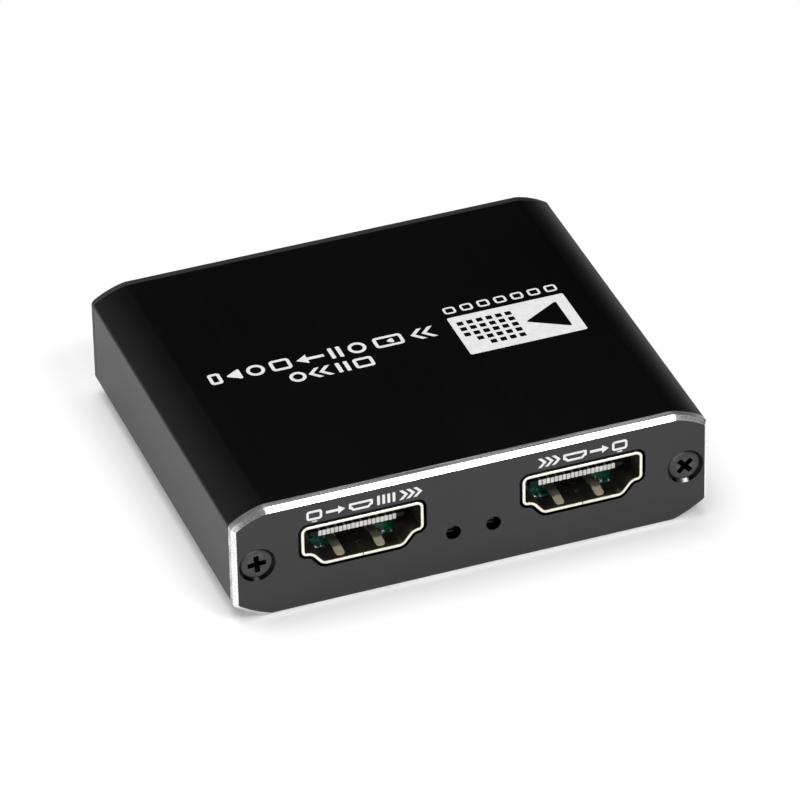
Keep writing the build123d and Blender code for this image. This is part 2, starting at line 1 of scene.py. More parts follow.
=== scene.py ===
# %% [markdown]
# # A small video capture box
# This box takes a video signal in on one side, passes it on through a second socket, and sends
# a copy to a computer from the rear. Its body is one length of black anodised aluminium, closed
# by two plates. We load the measured model first. Every piece we make later has to fit it.

# %% Load the measured model
import math
import bmesh
import bpy
from mathutils import Matrix, Vector


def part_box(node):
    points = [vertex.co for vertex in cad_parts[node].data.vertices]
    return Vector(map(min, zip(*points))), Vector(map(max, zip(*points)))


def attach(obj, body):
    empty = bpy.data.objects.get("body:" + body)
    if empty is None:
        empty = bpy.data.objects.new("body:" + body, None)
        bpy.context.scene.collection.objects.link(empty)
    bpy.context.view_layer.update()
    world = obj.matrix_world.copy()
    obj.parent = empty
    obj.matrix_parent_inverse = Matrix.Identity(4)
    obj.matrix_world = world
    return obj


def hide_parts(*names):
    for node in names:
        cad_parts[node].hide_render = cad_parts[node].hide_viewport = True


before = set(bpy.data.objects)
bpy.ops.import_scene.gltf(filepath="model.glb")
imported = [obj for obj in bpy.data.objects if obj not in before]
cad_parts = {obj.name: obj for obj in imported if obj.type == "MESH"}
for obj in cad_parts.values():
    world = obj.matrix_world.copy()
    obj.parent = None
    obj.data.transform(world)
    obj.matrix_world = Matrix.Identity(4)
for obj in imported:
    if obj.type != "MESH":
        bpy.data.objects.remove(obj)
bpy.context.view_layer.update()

# %% [markdown]
# Blender works in metres, but a wall of 0.36 mm is easier to read, and safer for the mesh
# operators, in millimetres. So each piece is drawn in millimetres and shrunk when it is done. X
# runs right, Y to the rear and Z up, from the middle of the underside.

# %% Sizes of the closed box, in millimetres
millimetre = 0.001
box_width, box_length, box_height = 58.0, 50.8, 14.8
plate_thickness, plate_bevel = 1.3, 0.5
front_y, rear_y = -box_length / 2, box_length / 2
sleeve_front_y, sleeve_rear_y = front_y + plate_thickness, rear_y - plate_thickness
sleeve_wall = 1.2
screw_x, screw_z = 26.1, 7.55
video_x, video_floor = 13.4, 5.55
board_top, board_thickness = 5.05, 1.6
light_x, light_z = 2.45, 5.8
jack_x, jack_z = 15.4, 7.55
sides = (-1, 1)
sockets = (("output", -video_x), ("input", video_x))
print(f"closed box: {box_width} x {box_length} x {box_height} mm")


def add_object(name, data):
    """Puts a camera, a mesh or a lamp into the scene."""
    made = bpy.data.objects.new(name, data)
    bpy.context.collection.objects.link(made)
    return made

# %% [markdown]
# ## Camera
# The photograph was taken with a long lens, from the left and from above. A long lens keeps the
# box's far edges nearly as long as its near ones. The camera is aimed by its three axes, which is
# exact, where a tracking constraint would add a guess.

# %% Place the camera
turn, rise, tilt = -0.345339, 0.599614, -0.02089
depth_share, shift_right, shift_up = 0.075018, -0.006556, -0.10463
picture_width, pixels_per_width = 800, 493.4575
ahead = -Vector((math.sin(turn) * math.cos(rise), -math.cos(turn) * math.cos(rise), math.sin(rise)))
level = Vector((math.cos(turn), math.sin(turn), 0))
upright = level.cross(ahead)
right = level * math.cos(tilt) + upright * math.sin(tilt)
up = upright * math.cos(tilt) - level * math.sin(tilt)
spot = (-ahead / depth_share - right * shift_right - up * shift_up) * box_width * millimetre

camera_data = bpy.data.cameras.new("camera")
camera_data.sensor_width = 36
camera_data.lens = camera_data.sensor_width * pixels_per_width / depth_share / picture_width
camera_data.clip_start = 0.01
camera = add_object("camera", camera_data)
camera.matrix_world = Matrix.Translation(spot) @ Matrix((right, up, -ahead)).transposed().to_4x4()
bpy.context.scene.camera = camera
print("camera is", round(spot.length, 3), "m away with a lens of", round(camera_data.lens), "mm")

# %% [markdown]
# ## Writing materials as sums
# A material's pattern is arithmetic on the place of a point. Wiring it node by node hides that, so
# a small class wraps one socket, and we write the pattern as Python sums.

# %% A socket that can be used in a sum
def joined_by(operation):
    """A method that joins a wire and another value by one node."""
    return lambda wire, other: wire.maths(operation, other)


class Wire:
    """One socket of a material's node tree. Sums and products of wires add their own nodes."""

    def __init__(self, tree, socket):
        self.tree = tree
        self.socket = socket

    def maths(self, operation, *others):
        operands = dict(enumerate((self, *others)))
        return add_node(self.tree, "ShaderNodeMath", {"operation": operation}, operands)

    def __rsub__(self, other):
        return (self * -1) + other

    def size(self):
        return self.maths("ABSOLUTE")

    def repeat(self, period):
        return self.maths("PINGPONG", period / 2)

    def past(self, edge):
        """One where this is past an edge by more than a hundredth, else zero."""
        return self.maths("GREATER_THAN", edge + 0.01)

    __add__ = __radd__ = joined_by("ADD")
    __mul__ = __rmul__ = joined_by("MULTIPLY")
    __sub__ = joined_by("SUBTRACT")
    __truediv__ = joined_by("DIVIDE")
    __pow__ = joined_by("POWER")
    larger = joined_by("MAXIMUM")


def add_node(tree, kind, settings, values, output=0):
    """Adds any node: its settings first, then a value or a link for each socket."""
    node = tree.nodes.new(kind)
    for name, value in settings.items():
        setattr(node, name, value)
    for socket, value in values.items():
        if isinstance(value, Wire):
            tree.links.new(value.socket, node.inputs[socket])
        else:
            node.inputs[socket].default_value = value
    return Wire(tree, node.outputs[output])

# %% [markdown]
# Most finishes vary roughness, colour and relief on one shader. Each could be wired by itself, but
# then the same nodes would be set up again and again. So one class holds the shader and the
# patterns that the finishes share: noise, cells, and fades between two values.

# %% A material under construction
class Finish:
    """A material whose fixed values stand on its shader, and whose pattern is wired to it."""

    def __init__(self, name, colour, values):
        self.material = bpy.data.materials.new(name)
        self.material.use_nodes = True
        self.tree = self.material.node_tree
        self.shader = self.tree.nodes["Principled BSDF"]
        self.shader.inputs["Base Color"].default_value = (*colour, 1)
        for socket, value in values.items():
            self.shader.inputs[socket].default_value = value
        self.place = self.node("ShaderNodeTexCoord", {}, {}, "Object")

    def node(self, kind, settings, values, output=0):
        return add_node(self.tree, kind, settings, values, output)

    def along(self, axis):
        """The place of a point on an axis, in millimetres."""
        return self.node("ShaderNodeSeparateXYZ", {}, {0: self.place}, axis) / millimetre

    def stretched(self, x, y, z):
        """Places multiplied by a number for each axis: a small number draws a pattern out."""
        return self.node("ShaderNodeMapping", {}, {"Vector": self.place, "Scale": (x, y, z)})

    def noise(self, per_millimetre, detail=2.0, place=None, roughness=0.5):
        values = {"Vector": place or self.place, "Scale": per_millimetre / millimetre,
                  "Detail": detail, "Roughness": roughness}
        return self.node("ShaderNodeTexNoise", {}, values)

    def cells(self, per_millimetre, place=None, feature="F1"):
        """Distance to the middle of the nearest cell of a loose pattern, or to the cell's edge."""
        values = {"Vector": place or self.place, "Scale": per_millimetre / millimetre}
        return self.node("ShaderNodeTexVoronoi", {"feature": feature}, values)

    def fade(self, value, start, end, low=0.0, high=1.0):
        """A value that eases from low to high while another runs from start to end."""
        values = {"Value": value, "From Min": start, "From Max": end, "To Min": low, "To Max": high}
        return self.node("ShaderNodeMapRange", {"interpolation_type": "SMOOTHSTEP"}, values)

    def mix(self, share, first, second):
        """A colour between two, by a share. Each is a wire, or its red, green and blue."""
        ends = [end if isinstance(end, Wire) else (*end, 1) for end in (first, second)]
        values = {"Factor": share, 6: ends[0], 7: ends[1]}
        return self.node("ShaderNodeMix", {"data_type": "RGBA"}, values, 2)

    def shade(self, socket, wire):
        self.tree.links.new(wire.socket, self.shader.inputs[socket])

    def done(self, roughness, share, first, second, height, depth_in_millimetres):
        """Varies roughness, colour and relief, and gives the finished material back."""
        values = {"Height": height, "Distance": depth_in_millimetres * millimetre, "Strength": 1.0}
        self.shade("Normal", self.node("ShaderNodeBump", {}, values))
        self.shade("Base Color", self.mix(share, first, second))
        if roughness:
            self.shade("Roughness", roughness)
        return self.material

# %% [markdown]
# ## Anodised aluminium
# Black anodising is a clear, hard, dyed oxide layer. It is nearly black and mirrors a little, as
# glass does, so it isn't given the metallic shader. The sleeve was pressed through a die, which
# leaves faint lines along its length, and it was blasted with fine grit before it was dyed. Noise
# that is drawn out along Y gives the lines.

# %% Sleeve finish
def sleeve_finish():
    finish = Finish("black anodised sleeve", (0.0016, 0.0016, 0.0018), {"IOR": 1.25})
    grain = finish.noise(9, 3)
    die_lines = finish.noise(2.2, 3, finish.stretched(1, 0.012, 1))
    patches = finish.noise(0.05, 2)
    tint = finish.fade(patches + die_lines * 0.3, 0.4, 0.9)
    roughness = 0.26 + grain * 0.05 + die_lines * 0.06 + patches * 0.03
    return finish.done(roughness, tint, (0.0007, 0.0007, 0.0008), (0.0014, 0.0014, 0.0016),
                       grain * 0.5 + die_lines, 0.0012)

# %% [markdown]
# The end plates are blasted more coarsely, so their face is matte, a little greyer and nicked here
# and there. After dyeing, a cutter ran once round the edge and laid the bare metal open, in one
# bright facet with the fine lines of the cutter. The front plate's narrow side was left satin, and
# is drawn darker towards its top left corner. Each of these is a material by itself, which keeps
# the borders between them sharp.

# %% Plate finishes
def plate_finish():
    finish = Finish("black anodised plate", (0.012, 0.012, 0.0125), {"IOR": 1.5})
    grain = finish.noise(11, 4, roughness=0.65)
    patches = finish.noise(0.11, 2)
    dyed = finish.fade(grain + patches * 0.5, 0.45, 1.05)
    black = finish.mix(dyed, (0.009, 0.009, 0.0094), (0.018, 0.018, 0.019))
    worn_areas = finish.fade(finish.noise(0.24, 1), 0.56, 0.6)
    nicks = finish.fade(finish.cells(0.33), 0.015, 0.035, 1, 0)
    roughness = 0.42 + grain * 0.12 + patches * 0.06
    return finish.done(roughness, nicks * worn_areas, black, (0.09, 0.09, 0.092), grain, 0.004)


def cut_facet_finish():
    finish = Finish("freshly cut aluminium", (0.93, 0.935, 0.95), {"Metallic": 1.0})
    cutter_lines = finish.noise(1.0, 3, finish.stretched(0.12, 9, 9))
    chatter = finish.noise(0.35, 2)
    lines = finish.fade(cutter_lines, 0.32, 0.62)
    roughness = 0.09 + cutter_lines * 0.1 + chatter * 0.04
    return finish.done(roughness, lines, (0.66, 0.67, 0.69), (0.98, 0.98, 0.99),
                       cutter_lines, 0.007)


def bare_edge_finish():
    finish = Finish("satin aluminium edge", (0.62, 0.62, 0.63), {"Metallic": 1.0})
    tumbled = finish.noise(5, 3)
    long_lines = finish.noise(0.8, 2, finish.stretched(0.1, 6, 1))
    streaks = finish.fade(tumbled * 0.35 + long_lines * 0.65, 0.4, 0.6)
    satin = finish.mix(streaks, (0.34, 0.34, 0.35), (0.82, 0.82, 0.83))
    # The satin side is mixed to a dark grey where it runs over the top left corner cut.
    corner_right, corner_bottom = (-25.2, -24.6), (12.7, 13.5)
    darker_corner = (finish.fade(finish.along("X"), *corner_right, 1, 0)
               * finish.fade(finish.along("Z"), *corner_bottom))
    roughness = 0.34 + tumbled * 0.12 + long_lines * 0.06
    return finish.done(roughness, darker_corner * 0.85, satin, (0.17, 0.17, 0.175), tumbled, 0.003)


sleeve_black, plate_black = sleeve_finish(), plate_finish()
cut_facet, bare_edge = cut_facet_finish(), bare_edge_finish()
print("aluminium finishes:", sleeve_black.name, plate_black.name, cut_facet.name, bare_edge.name)

# %% [markdown]
# ## Steel, plating and plastic
# The socket shells are thin steel with a warm nickel plating, rolled in one direction. The spring
# fingers are cut from harder strip and are a little browner. Most of these metals differ only in
# colour and roughness, so one function makes them. Screws are blackened in oil, and brighter where
# a driver has rubbed them. Their cross recesses get a darker material, which is painted shade.

# %% Metal finishes
def plated_finish(name, colour, dark_colour, roughness, metallic=1.0, relief=0.0012):
    finish = Finish(name, colour, {"Metallic": metallic})
    rolling_lines = finish.noise(1.6, 2, finish.stretched(3, 0.5, 3))
    tarnish = finish.noise(0.9, 3)
    roughness = roughness - 0.06 + rolling_lines * 0.08 + tarnish * 0.06
    return finish.done(roughness, finish.fade(tarnish, 0.3, 0.75), dark_colour, colour,
                       rolling_lines + tarnish, relief)


def finger_finish():
    """A strip in its own light colour at the tip, with painted shade that darkens it towards its
    root.
    """
    finish = Finish("finger strip", (0.9, 0.85, 0.7), {"Metallic": 0.55})
    scuffs = finish.noise(2.4, 3, finish.stretched(3, 0.4, 3))
    # Painted shade: behind the tip the strip is mixed to a dark brown towards its root.
    shade_start = front_y + 1.6 + scuffs * 0.5
    unshaded_tip = finish.fade(finish.along("Y") - shade_start, 0.0, 0.4, 1, 0)
    painted_root_shade = finish.mix(scuffs, (0.15, 0.14, 0.11), (0.24, 0.22, 0.17))
    roughness = 0.5 + scuffs * 0.1 - unshaded_tip * 0.06
    return finish.done(roughness, unshaded_tip, painted_root_shade, (0.74, 0.68, 0.5), scuffs, 0.0012)


def blackened_finish():
    finish = Finish("blackened steel", (0.02, 0.02, 0.021), {"Metallic": 0.55})
    pits = finish.noise(3.2, 4, roughness=0.7)
    rubbed = finish.fade(finish.noise(0.9, 2), 0.5, 0.8)
    roughness = 0.24 + pits * 0.2
    return finish.done(roughness, rubbed, (0.045, 0.045, 0.046), (0.085, 0.084, 0.082), pits, 0.008)


def hole_finish():
    """Hole walls drawn darker than the plate face, which is painted shade in the holes. Below the
    head of the right screw a patch of the seat is light grey, which is a painted highlight.
    """
    finish = Finish("hole wall with painted shade and highlight", (0.014, 0.014, 0.014), {"Metallic": 1.0})
    tarnish = finish.noise(0.9, 3)
    from_axis, over_axis = finish.along("X") - screw_x, finish.along("Z") - screw_z
    # Painted highlight: a light grey patch on the seat below the right screw's head.
    below = finish.fade(over_axis, -1.8, -1.5, 1, 0)
    beside = finish.fade(from_axis, -1.1, -0.8) * finish.fade(from_axis, 0.3, 0.6, 1, 0)
    # Painted shade: this dark mix makes the walls of every hole darker than the plate face.
    blackened = finish.mix(tarnish, (0.014, 0.014, 0.014), (0.007, 0.007, 0.007))
    roughness = 0.2 + tarnish * 0.06
    return finish.done(roughness, below * beside, blackened, (0.13, 0.126, 0.124), tarnish, 0.0012)


nickel = plated_finish("nickel plated shell", (0.95, 0.93, 0.85), (0.86, 0.83, 0.74), 0.34)
# Painted shade: the inside of the shells is the same plating drawn much darker.
shell_inside_shade = plated_finish("painted shade inside the shell", (0.5, 0.47, 0.38), (0.36, 0.33, 0.26), 0.3,
                             relief=0.0003)
spring_strip = plated_finish("spring strip", (0.9, 0.85, 0.7), (0.78, 0.72, 0.57), 0.5, 0.55)
finger_strip_shaded_to_root = finger_finish()
contact_metal = plated_finish("contact plating", (0.78, 0.78, 0.75), (0.6, 0.6, 0.58), 0.45)
crystal_lid = plated_finish("crystal lid", (0.72, 0.72, 0.72), (0.6, 0.6, 0.61), 0.24)
solder = plated_finish("tinned solder", (0.94, 0.95, 0.96), (0.8, 0.81, 0.82), 0.2)
blackened = blackened_finish()
# Painted shade: a near black material for the walls of the screws' cross recesses.
recess_shade = plated_finish("painted shade in the cross recess", (0.006, 0.006, 0.006), (0.003, 0.003, 0.003), 0.5)
hole_shade_and_highlight = hole_finish()
print("metal finishes:", nickel.name, spring_strip.name, contact_metal.name, solder.name)

# %% [markdown]
# Plastic and resin come out of a mould with a fine grain, and their flow leaves broad, faint
# streaks. They aren't metals, so the index of refraction sets how much they mirror. The same
# function serves fired ceramic and pressed iron powder. White ink is pressed through a woven
# screen, whose weave roughens it.

# %% Moulded finishes
def moulded_finish(name, colour, light_colour, roughness, grain_depth=0.006, ior=1.49):
    finish = Finish(name, colour, {"IOR": ior})
    grain = finish.noise(7, 3)
    flow = finish.noise(0.3, 2, finish.stretched(1, 0.4, 1))
    roughness = roughness - 0.07 + grain * 0.12 + flow * 0.04
    return finish.done(roughness, finish.fade(flow + grain * 0.2, 0.35, 0.85), colour, light_colour,
                       grain, grain_depth)


def ink_finish():
    finish = Finish("white printing ink", (0.74, 0.74, 0.75), {"IOR": 1.45})
    screen_weave = finish.noise(14, 2)
    coverage = finish.fade(finish.noise(1.1, 3), 0.3, 0.7)
    roughness = 0.42 + screen_weave * 0.2
    return finish.done(roughness, coverage, (0.7, 0.7, 0.71), (0.76, 0.76, 0.77),
                       screen_weave, 0.002)


resin_dark, resin_light = (0.012, 0.012, 0.013), (0.024, 0.024, 0.025)
socket_black = moulded_finish("black socket plastic", (0.003,) * 3, (0.006,) * 3, 0.5, ior=1.3)
data_blue = moulded_finish("blue socket plastic", (0.02, 0.12, 0.45), (0.03, 0.16, 0.55), 0.4)
package_resin = moulded_finish("chip package", resin_dark, resin_light, 0.55, 0.01)
clear_resin = moulded_finish("unlit light resin", (0.05, 0.05, 0.048), (0.09, 0.09, 0.085), 0.2,
                             0.001)
ceramic = moulded_finish("fired ceramic", (0.4, 0.28, 0.18), (0.5, 0.38, 0.26), 0.45, 0.003)
resistor_glaze = moulded_finish("resistor glaze", (0.02,) * 3, (0.03, 0.03, 0.032), 0.2, 0.001)
ferrite = moulded_finish("pressed iron powder", (0.09,) * 3, (0.15,) * 3, 0.6, 0.02)
ink = ink_finish()
print("moulded finishes:", socket_black.name, data_blue.name, package_resin.name, ink.name)

# %% [markdown]
# A chip's measured mesh holds the black package and its leads, and one material has to serve both.
# The place of a point tells them apart: what lies within the leads' length of the mesh's ends is
# tinned, and the rest is black resin.

# %% Finish of a leaded chip
def chip_finish(node_name, lead_reach):
    """A black moulded package, with tinned leads where they stand out from it along X and Y."""
    finish = Finish("package of the " + node_name, resin_dark, {"IOR": 1.49})
    low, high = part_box(node_name)
    leads = []
    for axis, reach, start, end in zip("XY", lead_reach, low, high):
        middle, half = (start + end) / 2 / millimetre, (end - start) / 2 / millimetre
        leads.append(((finish.along(axis) - middle).size() - half).past(-reach))
    lead = leads[0].larger(leads[1])
    grain, tin = finish.noise(7, 3), finish.noise(1.5, 2)
    package = finish.mix(grain, resin_dark, resin_light)
    tinned = finish.mix(tin, (0.66, 0.67, 0.69), (0.82, 0.83, 0.84))
    finish.shade("Metallic", lead)
    roughness = 0.55 + grain * 0.1 - lead * 0.28
    return finish.done(roughness, lead, package, tinned, grain, 0.006)

# %% [markdown]
# The circuit board is glass cloth under a green lacquer. Copper tracks under the lacquer lift it a
# little and make it lighter. Cell edges of a stretched Voronoi pattern give tracks that run in
# short straight legs, and a skewed grid of dots gives the small plated holes that join the layers.
# Within about a millimetre of the board's front and rear edges the lacquer is drawn near black.

# %% Board finish
def board_finish():
    finish = Finish("green circuit board", (0.0, 0.1, 0.06), {"Roughness": 0.25, "IOR": 1.5})
    wide = finish.cells(0.62, finish.stretched(1, 0.45, 1), "DISTANCE_TO_EDGE")
    narrow = finish.cells(0.9, finish.stretched(0.5, 1, 1), "DISTANCE_TO_EDGE")
    tracks = finish.fade(wide, 0.05, 0.075, 1, 0).larger(finish.fade(narrow, 0.04, 0.06, 1, 0))
    x, y = finish.along("X"), finish.along("Y")
    dot = ((x + y * 0.5).repeat(3.4) ** 2 + (y - x * 0.5).repeat(2.6) ** 2) ** 0.5
    hole, pad = finish.fade(dot, 0.14, 0.17, 1, 0), finish.fade(dot, 0.28, 0.31, 1, 0)
    rim = finish.fade(y.size(), sleeve_rear_y - 1.0, sleeve_rear_y - 0.8)
    lacquer = finish.mix(finish.noise(2.2, 2), (0.003, 0.19, 0.12), (0.008, 0.25, 0.16))
    tracked = finish.mix(tracks, lacquer, (0.025, 0.36, 0.23))
    plated = finish.mix(pad, tracked, (0.5, 0.47, 0.36))
    # Painted shade: the middle of each dot is drawn near black for a hole that isn't cut.
    drilled = finish.mix(hole, plated, (0.004, 0.01, 0.008))
    finish.shade("Metallic", (pad - hole).larger(0))
    return finish.done(None, rim, drilled, (0.001, 0.02, 0.013), tracks + pad * 0.6 - hole, 0.03)


board_green = board_finish()
print("board finish:", board_green.name)

# %% [markdown]
# ## Drawing outlines
# Most pieces here are outlines that are pushed out into a solid. An outline starts as a polygon
# with sharp corners. Bevelling its corner points rounds each by its own radius, so there is no
# need to work out arcs.

# %% Outline helpers
def round_corner(bm, x, z, radius, steps):
    """Rounds the corner of a flat face that lies at a place in the XZ plane."""
    point = min(bm.verts, key=lambda vert: (vert.co - Vector((x, 0, z))).length)
    before, after = (edge.other_vert(point).co - point.co for edge in point.link_edges)
    reach = radius * math.tan((math.pi - before.angle(after)) / 2)
    bmesh.ops.bevel(bm, geom=[point], offset=reach, offset_type="OFFSET", segments=steps,
                    profile=0.5, affect="VERTICES", material=-1)


def grown(points, amount):
    """The same outline with every edge moved outwards by one distance."""
    area = sum(a.x * b.z - b.x * a.z for a, b in zip(points, points[1:] + points[:1]))
    out = amount if area > 0 else -amount
    corners = []
    for before, here, after in zip(points[-1:] + points[:-1], points, points[1:] + points[:1]):
        first, second = (here - before).normalized(), (after - here).normalized()
        mitre = Vector((first.z + second.z, 0, -first.x - second.x))
        corners.append(here + mitre * out / (1 + first.dot(second)))
    return corners


def read_outline(bm):
    """Reads the corners of a mesh's only face, and frees the mesh."""
    drawn = [loop.vert.co.copy() for loop in bm.faces[:][0].loops]
    bm.free()
    return drawn


def outline_from(corners, steps=8, inset=0.0):
    """A closed outline in the XZ plane from (x, z, radius) corners, drawn in by an inset."""
    bm = bmesh.new()
    sharp = grown([Vector((x, 0, z)) for x, z, radius in corners], -inset)
    bm.faces.new([bm.verts.new(point) for point in sharp])
    for point, (x, z, radius) in zip(sharp, corners):
        if radius > inset:
            round_corner(bm, point.x, point.z, radius - inset, steps)
    return read_outline(bm)


def circle_outline(x, z, radius, steps=48):
    """A round outline in the XZ plane."""
    bm = bmesh.new()
    place = Matrix.Translation((x, 0, z)) @ Matrix.Rotation(math.pi / 2, 4, "X")
    bmesh.ops.create_circle(bm, cap_ends=True, radius=radius, segments=steps, matrix=place)
    return read_outline(bm)


def shifted(points, x=0.0, z=0.0):
    """The same outline somewhere else."""
    return [point + Vector((x, 0, z)) for point in points]


def loop_of(bm, points, y):
    """Draws an outline into a mesh as a closed loop of edges at a depth."""
    corners = [bm.verts.new((point.x, y, point.z)) for point in points]
    return [bm.edges.new(pair) for pair in zip(corners, corners[1:] + corners[:1])]


def filled(bm, *loops):
    """Fills the area between an outer loop and the loops inside it."""
    edges = [edge for loop in loops for edge in loop]
    bmesh.ops.triangle_fill(bm, use_beauty=True, use_dissolve=False, edges=edges)


def walled(bm, first, second, material=0):
    """Joins two loops of the same count with a wall, corner to corner."""
    near, far = ([edge.verts[0] for edge in loop] for loop in (first, second))
    for here in range(len(near)):
        corners = (near[here - 1], near[here], far[here], far[here - 1])
        bm.faces.new(corners).material_index = material


def open_tube(bm, outer_outline, inner_outline, y_from, y_to):
    """Adds a tube along Y between two outlines, and gives back its outer and inner end loops."""
    outer, inner = ([loop_of(bm, points, y) for y in (y_from, y_to)]
                    for points in (outer_outline, inner_outline))
    walled(bm, *outer)
    walled(bm, *inner)
    for near, far in zip(outer, inner):
        walled(bm, near, far)
    return outer, inner

# %% [markdown]
# A few steps come back in almost every piece. Its faces are turned outwards, and its sharp edges
# are broken, because no real edge is quite sharp and the narrow bevel is what catches the light.

# %% Mesh helpers
def face_outwards(bm):
    bmesh.ops.recalc_face_normals(bm, faces=bm.faces[:])


def softened(bm, edges, width, steps=2):
    """Breaks sharp edges as tumbling or paint does, so that they catch light."""
    face_outwards(bm)
    bmesh.ops.bevel(bm, geom=edges, offset=width, offset_type="OFFSET", segments=steps, profile=0.5,
                    affect="EDGES", clamp_overlap=False, material=-1)


def moved(bm, x, y=0.0, z=0.0):
    bmesh.ops.translate(bm, verts=bm.verts[:], vec=(x, y, z))


def turned_round(bm):
    """Turns what was drawn for the front so that it belongs at the rear."""
    half_turn = Matrix.Rotation(math.pi, 3, "Z")
    bmesh.ops.rotate(bm, verts=bm.verts[:], cent=(0, 0, 0), matrix=half_turn)


def mesh_of(name, bm):
    mesh = bpy.data.meshes.new(name)
    bm.to_mesh(mesh)
    return mesh

# %% [markdown]
# A finished piece is shrunk to metres, shaded smooth but for its real creases, and tied to the body
# that it moves with, and the plain nodes that it replaces are hidden. Weighted normals keep its
# broad faces flat, so that only the narrow bevels look round.

# %% Finish a piece
def finish_piece(name, bm, materials, stands_for=(), body="root", crease=28):
    face_outwards(bm)
    bmesh.ops.scale(bm, vec=(millimetre,) * 3, verts=bm.verts[:])
    open_edges = sum(not edge.is_manifold for edge in bm.edges)
    mesh = mesh_of(name, bm)
    bm.free()
    mesh.shade_smooth()
    mesh.set_sharp_from_angle(angle=math.radians(crease))
    for material in materials:
        mesh.materials.append(material)
    piece = add_object(name, mesh)
    shading = piece.modifiers.new("even shading", "WEIGHTED_NORMAL")
    shading.keep_sharp = True
    shading.weight = 80
    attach(piece, body)
    if stands_for:
        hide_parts(*stands_for)
    print(f"{name}: {len(mesh.polygons)} faces, {open_edges} open edges")

# %% [markdown]
# Windows, slots and the crosses of the screws are stamped or pressed in when the rest of a piece
# has its shape. We do the same: a closed shape is taken out of the piece by a boolean. Blocks and
# outlines pushed out along Y are what most of these shapes start from.

# %% Solid shapes
def carved(bm, cutter):
    """Takes a closed shape out of a piece with Blender's exact boolean."""
    shapes = []
    for source in (bm, cutter):
        face_outwards(source)
        shapes.append(add_object("shape", mesh_of("shape", source)))
    blank, tool = shapes
    cut = blank.modifiers.new("cut", "BOOLEAN")
    cut.operation = "DIFFERENCE"
    cut.solver = "EXACT"
    cut.use_self = True
    cut.object = tool
    evaluated = blank.evaluated_get(bpy.context.evaluated_depsgraph_get())
    result = bpy.data.meshes.new_from_object(evaluated)
    bm.clear()
    bm.from_mesh(result)
    cutter.free()
    for shape in shapes:
        bpy.data.meshes.remove(shape.data)
    bpy.data.meshes.remove(result)


def block(bm, corner, opposite):
    """Adds a box between two opposite corners to a mesh, and gives its points back."""
    low, high = (Vector(map(pick, corner, opposite)) for pick in (min, max))
    place = Matrix.Translation((low + high) / 2) @ Matrix.Diagonal((*(high - low), 1))
    return bmesh.ops.create_cube(bm, size=1, matrix=place)["verts"]


def prism(bm, points, y_from, y_to):
    """Pushes an outline out along Y into a closed solid."""
    ends = [loop_of(bm, points, y) for y in (y_from, y_to)]
    walled(bm, *ends)
    for end in ends:
        filled(bm, end)

# %% [markdown]
# ## Outline of the box
# The box is a rectangle whose corners are cut off. The cuts aren't flat: they swell a little
# between their edges, and the crease at the top is so soft that light runs over it without a
# break. So the cut edges are subdivided and pushed out before the corners are rounded.

# %% Draw the outline of the box
def box_outline(inset=0.0, steps=10):
    half = box_width / 2
    top_in, top_down, bottom_in, bottom_up = 4.2, 1.85, 4.3, 2.25
    top_swell, bottom_swell, crease, corner = 0.25, 0.2, 2.5, 0.7
    right_half = [(half - top_in, box_height), (half, box_height - top_down),
                  (half, bottom_up), (half - bottom_in, 0)]
    places = right_half + [(-x, z) for x, z in reversed(right_half)]
    corners = grown([Vector((x, 0, z)) for x, z in places], -inset)
    bm = bmesh.new()
    bm.faces.new([bm.verts.new(point) for point in corners])
    for first, swell in ((0, top_swell), (2, bottom_swell), (4, bottom_swell), (6, top_swell)):
        start, end = corners[first:first + 2]
        run = end - start
        outward = Vector((run.z, 0, -run.x)).normalized()
        outward *= math.copysign(1, outward.x * start.x)
        ends = start + end
        edge = min(bm.edges, key=lambda edge: (edge.verts[0].co + edge.verts[1].co - ends).length)
        made = bmesh.ops.bisect_edges(bm, edges=[edge], cuts=steps)
        for point in made["geom_split"]:
            if isinstance(point, bmesh.types.BMVert):
                share = (point.co - start).dot(run) / run.length_squared
                point.co += outward * 4 * swell * share * (1 - share)
    for index in (0, 1, 2, 5, 6, 7):
        radius = max((crease if index in (0, 7) else corner) - inset, 0.2)
        round_corner(bm, corners[index].x, corners[index].z, radius, 8)
    return read_outline(bm)


body_outline = box_outline()
print("outline of the box has", len(body_outline), "points and is",
      round(max(point.x for point in body_outline) * 2, 2), "mm wide")

# %% [markdown]
# ## Sleeve
# One extruded length makes the top, the bottom and both sides. Inside run two rails for the board
# and a channel for the screws on each side. The sleeve is drawn as two outlines joined by walls,
# as the die draws it. Its ends are sawn and tumbled, so their edges are slightly round, and that
# is what draws the thin dark seam between the sleeve and the plates.

# %% Build the sleeve
def build_sleeve():
    bm = bmesh.new()
    ends = sleeve_front_y, sleeve_rear_y
    outer, inner = open_tube(bm, body_outline, box_outline(sleeve_wall), *ends)
    softened(bm, outer[0] + outer[1], width=0.09)
    rail_tip, rail_root, rail_thickness, rail_gap = 26.7, 27.85, 1.0, 0.15
    board_bottom = board_top - board_thickness
    rails = ((board_bottom - rail_thickness, board_bottom), (board_top + rail_gap, screw_z - 0.85))
    for side in sides:
        for low, high in rails:
            block(bm, (side * rail_tip, ends[0], low), (side * rail_root, ends[1], high))
        channel, bore = (circle_outline(side * screw_x, screw_z, radius, 32)
                         for radius in (1.87, 1.02))
        open_tube(bm, channel, bore, *ends)
    finish_piece("sleeve", bm, [sleeve_black], ["housing_sleeve"])


build_sleeve()

# %% [markdown]
# ## End plates
# Each plate is built from loops: the full outline, the same outline drawn in by the bevel, and the
# holes. Holes could be cut out afterwards, but from loops each wall is one clean ring of faces
# with its own material. The band between the first two loops becomes the bright facet, and the
# band behind it the satin side. Screw holes open into a cone that takes the screw head.

